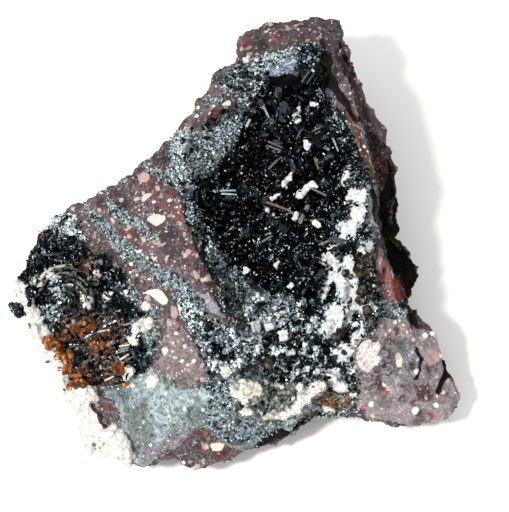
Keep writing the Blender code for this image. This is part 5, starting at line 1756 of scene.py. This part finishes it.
# Where near-white flakes paint the dome's glints.
DOME_GLINTS = (
    ((55, 280), (62, 280), (68, 298), (58, 304)),
    ((38, 305), (60, 303), (64, 314), (54, 325), (40, 325)),
)
DOME_ARCS = (
    (35.0, 195, 355), (32.0, 205, 350), (29.0, 185, 380), (26.0, 250, 395), (23.0, 200, 400),
    (20.0, 260, 430), (17.0, 180, 350), (14.0, 250, 420), (11.0, 170, 400), (32.0, 30, 110),
    (28.0, 20, 120), (24.0, 60, 150),
)
LEDGE_LINES = (
    ((58, 334), (76, 325), (92, 314), (103, 303)), ((57, 330), (75, 321), (91, 310), (102, 299)),
    ((55, 326), (74, 317), (90, 306), (101, 295)), ((60, 338), (78, 329), (94, 318), (105, 307)),
    ((36, 262), (48, 258), (62, 258), (74, 262)), ((38, 256), (52, 252), (68, 252)),
    ((24, 284), (32, 276), (42, 270)), ((20, 280), (30, 270), (40, 264)),
)
ORANGE_OUTLINES = (
    ((64, 324), (80, 320), (96, 320), (95, 328), (80, 333), (66, 332)),
    ((48, 337), (60, 335), (66, 345), (64, 353), (54, 352)),
    ((60, 355), (70, 355), (75, 366), (72, 376), (62, 372)),
    ((93, 345), (102, 340), (109, 342), (108, 352), (100, 359), (94, 356)),
    *dots((93, 384, 4.0), (122, 385, 4.2), (80, 372, 4.0)),
    ((110, 366), (120, 364), (130, 366), (126, 373), (112, 375)),
)
DULL_ORANGE_OUTLINES = (
    ((74, 262), (90, 258), (100, 266), (97, 277), (86, 274)),
    ((56, 318), (120, 316), (132, 366), (116, 390), (70, 390), (54, 350)),
)
RUSTY_GRAINS = (
    ((312, 388), (322, 386), (338, 388), (353, 391), (354, 402), (340, 407), (322, 405),
     (314, 398)),
)
SIDE_CREAM_PATCHES = (
    ((45, 268), (49, 266), (54, 274), (50, 277), (44, 276)),
    ((31, 281), (40, 279), (43, 285), (34, 288)), ((22, 284), (28, 283), (28, 287), (23, 287)),
    ((80, 298), (85, 295), (91, 298), (92, 305), (84, 307)),
    ((106, 294), (112, 293), (112, 299), (107, 299)),
    ((124, 290), (131, 289), (132, 296), (125, 296)), ((94, 271), (99, 269), (100, 276), (94, 278)),
    ((142, 304), (149, 303), (150, 309), (143, 310)),
    ((133, 326), (137, 318), (144, 315), (151, 317), (152, 325), (146, 332), (137, 333)),
    ((130, 337), (137, 336), (138, 343), (131, 345)),
    ((118, 378), (122, 370), (130, 366), (134, 370), (131, 377), (124, 380)),
    ((127, 386), (134, 382), (137, 384), (131, 389)),
    ((148, 378), (154, 372), (158, 380), (154, 388), (146, 388)),
)
BLACK_LUMPS = (
    ((21, 283), (33, 283), (35, 290), (29, 295), (23, 292)),
    ((11, 305), (14, 301), (20, 304), (24, 310), (21, 315), (15, 313)),
)
CRUST_EDGE = (
    ((46, 334), (50, 350), (60, 357), (64, 372), (74, 386), (84, 388), (82, 382), (72, 374),
     (66, 358), (54, 346)),
)
LATH_CORNERS = ((56, 322), (134, 388))
LATH_TRIES, LATH_COUNT = 420, 56
LATH_MARGIN = 2.0
LATH_REACH, LATH_WIDTH = (6.0, 15.0), (0.25, 0.5)
LATH_TILT, LATH_TILT_SPREAD = -24.0, 9.0
LATH_KINDS, LATH_SHARES = ("grey", "grey", "silver", "cream"), (0.45, 0.3, 0.1, 0.15)


def arc_pixels(radius, first, last):
    """Pixels on an arc of the dome, by angle in degrees from the right, counted downwards."""
    angle = np.radians(np.linspace(first, last, ARC_STEPS))
    return np.stack([DOME_CENTRE[0] + radius * np.cos(angle),
                     DOME_CENTRE[1] + DOME_SQUASH * radius * np.sin(angle)], -1)


def leaf_arrays(path, height, thickness):
    """A thin standing leaf along a path of pixels: at each point a box section that is the
    thickness across and the height up, half of it sunk, with closed ends."""
    met = [(place, normal) for place, normal in map(side_ground.under, path) if place is not None]
    if len(met) < 3:
        return None
    points = np.array([place for place, _ in met])
    normals = unit(np.array([normal for _, normal in met]) + TO_CAMERA)
    for _ in range(LEAF_SMOOTHINGS):
        points[1:-1] = (points[:-2] + points[1:-1] + points[2:]) / 3.0
    along = unit(np.gradient(points, axis=0))
    across = unit(np.cross(along, normals))
    taper = np.sin(np.linspace(LEAF_TIP, math.pi - LEAF_TIP, len(points)))[:, None] ** LEAF_TAPER
    up, wide = normals * height * taper, across * thickness / 2.0
    rings = np.stack([points + up + wide, points + up - wide,
                      points - LEAF_SINK * up - wide, points - LEAF_SINK * up + wide], 1)
    index = np.arange(len(points) * 4).reshape(-1, 4)
    turned = np.roll(index, -1, axis=1)
    sides = np.stack([index[:-1], turned[:-1], turned[1:], index[1:]], -1)
    return rings.reshape(-1, 3), np.concatenate([sides.reshape(-1, 4), index[:1, ::-1], index[-1:]])


def lay_leaves(name, paths, height, thickness, material, seed):
    """Many leaves as one piece, each with a tint of its own."""
    picker = np.random.default_rng(seed)
    points, faces, tints, total = [], [], [], 0
    for path in paths:
        leaf = leaf_arrays(path, height * picker.uniform(*LEAF_STRETCH), thickness)
        if leaf is None:
            continue
        points.append(leaf[0])
        faces.append(leaf[1] + total)
        tints.append(np.full(len(leaf[0]), picker.random()))
        total += len(leaf[0])
    piece = new_piece(name, np.concatenate(points), [np.concatenate(faces)], material,
                      smooth=False, marks={"tint": np.concatenate(tints)})
    shape = bmesh.new()
    shape.from_mesh(piece.data)
    bmesh.ops.recalc_face_normals(shape, faces=shape.faces)
    shape.to_mesh(piece.data)
    shape.free()


def make_leaf_material():
    """Dull olive-grey leaves, darker where fine noise is low."""
    material, tree, shader, place = new_material("dome leaves")
    fine = add_noise(tree, place, 0.5)
    colour = add_mix(tree, add_mark(tree, "tint"), tone(0.04, 0.042, 0.034),
                     tone(0.22, 0.215, 0.165))
    colour = add_mix(tree, add_ramp(tree, fine, 0.4, 0.65), tone(0.012, 0.014, 0.014), colour)
    roughness = add_ramp(tree, fine, 0.3, 0.7, 0.2, 0.4)
    set_shader(tree, shader, colour, roughness, 0.45, fine, 0.08)
    return material


def make_stained_material(name, deep, bright):
    """Iron-stained crystal, from deep to bright by its tint and by fine noise."""
    material, tree, shader, place = new_material(name)
    fine = add_noise(tree, place, 0.6)
    share = add_product(tree, add_ramp(tree, add_mark(tree, "tint"), 0.35, 1.0),
                        add_ramp(tree, fine, 0.35, 0.6))
    colour = add_mix(tree, share, tone(*deep), tone(*bright))
    set_shader(tree, shader, colour, 0.3, 0.0, fine, 0.12)
    return material


for name, *looks in (
    ("iron-stained crystals", (0.07, 0.022, 0.008), (0.72, 0.215, 0.035)),
    ("brown crystals", (0.03, 0.015, 0.008), (0.20, 0.08, 0.03)),
    ("rusty grains", (0.06, 0.024, 0.010), (0.46, 0.17, 0.045)),
):
    minerals[name] = make_stained_material(name, *looks)

grow_rows(
    ("orange_crystals", "iron-stained crystals", side_bed,
     zone(side_ground.pixels, ORANGE_OUTLINES, 2.0) ** 2 * side_ground.up, 420, 121,
     (0.7, 1.5), (1.0, 1.6), (0.35, 0.7), (10, 70)),
    ("brown_crystals", "brown crystals", side_bed,
     side_ground.inside(DULL_ORANGE_OUTLINES, 4.0), 700, 122,
     (0.6, 1.4), (1.0, 2.0), (0.25, 0.5), (10, 80)),
    ("dome_plates", "dome hematite", side_bed, domed, 260, 123,
     (0.8, 1.6), (1.4, 3.2), (0.10, 0.20), (60, 88), 0.2),
    # Near-white flakes on the dome: painted glints.
    ("dome_glints", "bright sparks", side_bed, side_ground.inside(DOME_GLINTS, 3.0), 260, 124,
     *flake((0.4, 0.95), -0.6)),
)
grain_rows(("rusty_grains", "rusty grains", "front_white_crust", RUSTY_GRAINS, 100, 125,
            (1.4, 96, 0.6), (0.25, 0.45), 0.6))

lath_picker = np.random.default_rng(131)
side_lath_rows = []
for spot in lath_picker.uniform(*LATH_CORNERS, (LATH_TRIES, 2)):
    if inset(spot[None], SIDE_DEEP[0])[0] > LATH_MARGIN and len(side_lath_rows) < LATH_COUNT:
        reach = lath_picker.uniform(*LATH_REACH)
        slope = math.radians(lath_picker.normal(LATH_TILT, LATH_TILT_SPREAD))
        end = spot + reach * np.array([math.cos(slope), math.sin(slope)])
        width = lath_picker.uniform(*LATH_WIDTH)
        kind = lath_picker.choice(LATH_KINDS, p=LATH_SHARES)
        side_lath_rows.append((tuple(spot), tuple(end), width, kind))
lay_laths("side_laths", side_ground, side_lath_rows, 0.18, 0.35)

dome_paths = [arc_pixels(*arc) for arc in DOME_ARCS] + [np.array(line) for line in LEDGE_LINES]
lay_leaves("dome_leaves", dome_paths, 0.7, 0.28, make_leaf_material(), 132)
lay_leaves("dome_rim", [np.array(DOME_RIM)], 0.6, 0.45, lath_materials["olive"], 133)

grow_plates("crust_edge_crystals", minerals["iron-stained crystals"], "cream_side_crust",
            *open_places(whole_ground, whole_ground.inside(CRUST_EDGE, 1.5), 150, 135), 236,
            (0.6, 1.3), (1.0, 1.6), (0.3, 0.6), (20, 80))
lump_places, lump_normals = whole_ground.scatter(whole_ground.inside(BLACK_LUMPS, 1.5), 700, 134)
open_lumps = ~whole_ground.hides(lump_places + LUMP_CLEARANCE * TO_CAMERA)
lump_places, lump_normals = lump_places[open_lumps], lump_normals[open_lumps]
grow_grains("black_lumps", "black hematite grains",
            lump_places[::2], lump_normals[::2], 234, (0.28, 0.52), 1.0)
# Near-white flakes on the black lumps: painted glints.
grow_plates("black_lump_glints", minerals["bright sparks"], "cream_side_crust",
            lump_places[1::3], lump_normals[1::3], 235, *flake((0.3, 0.6), -1.2))
lay_lumps("side_cream_lumps", SIDE_CREAM_PATCHES, 2.6, (0.40, 0.72), 312, "cream side crust",
          0.2)
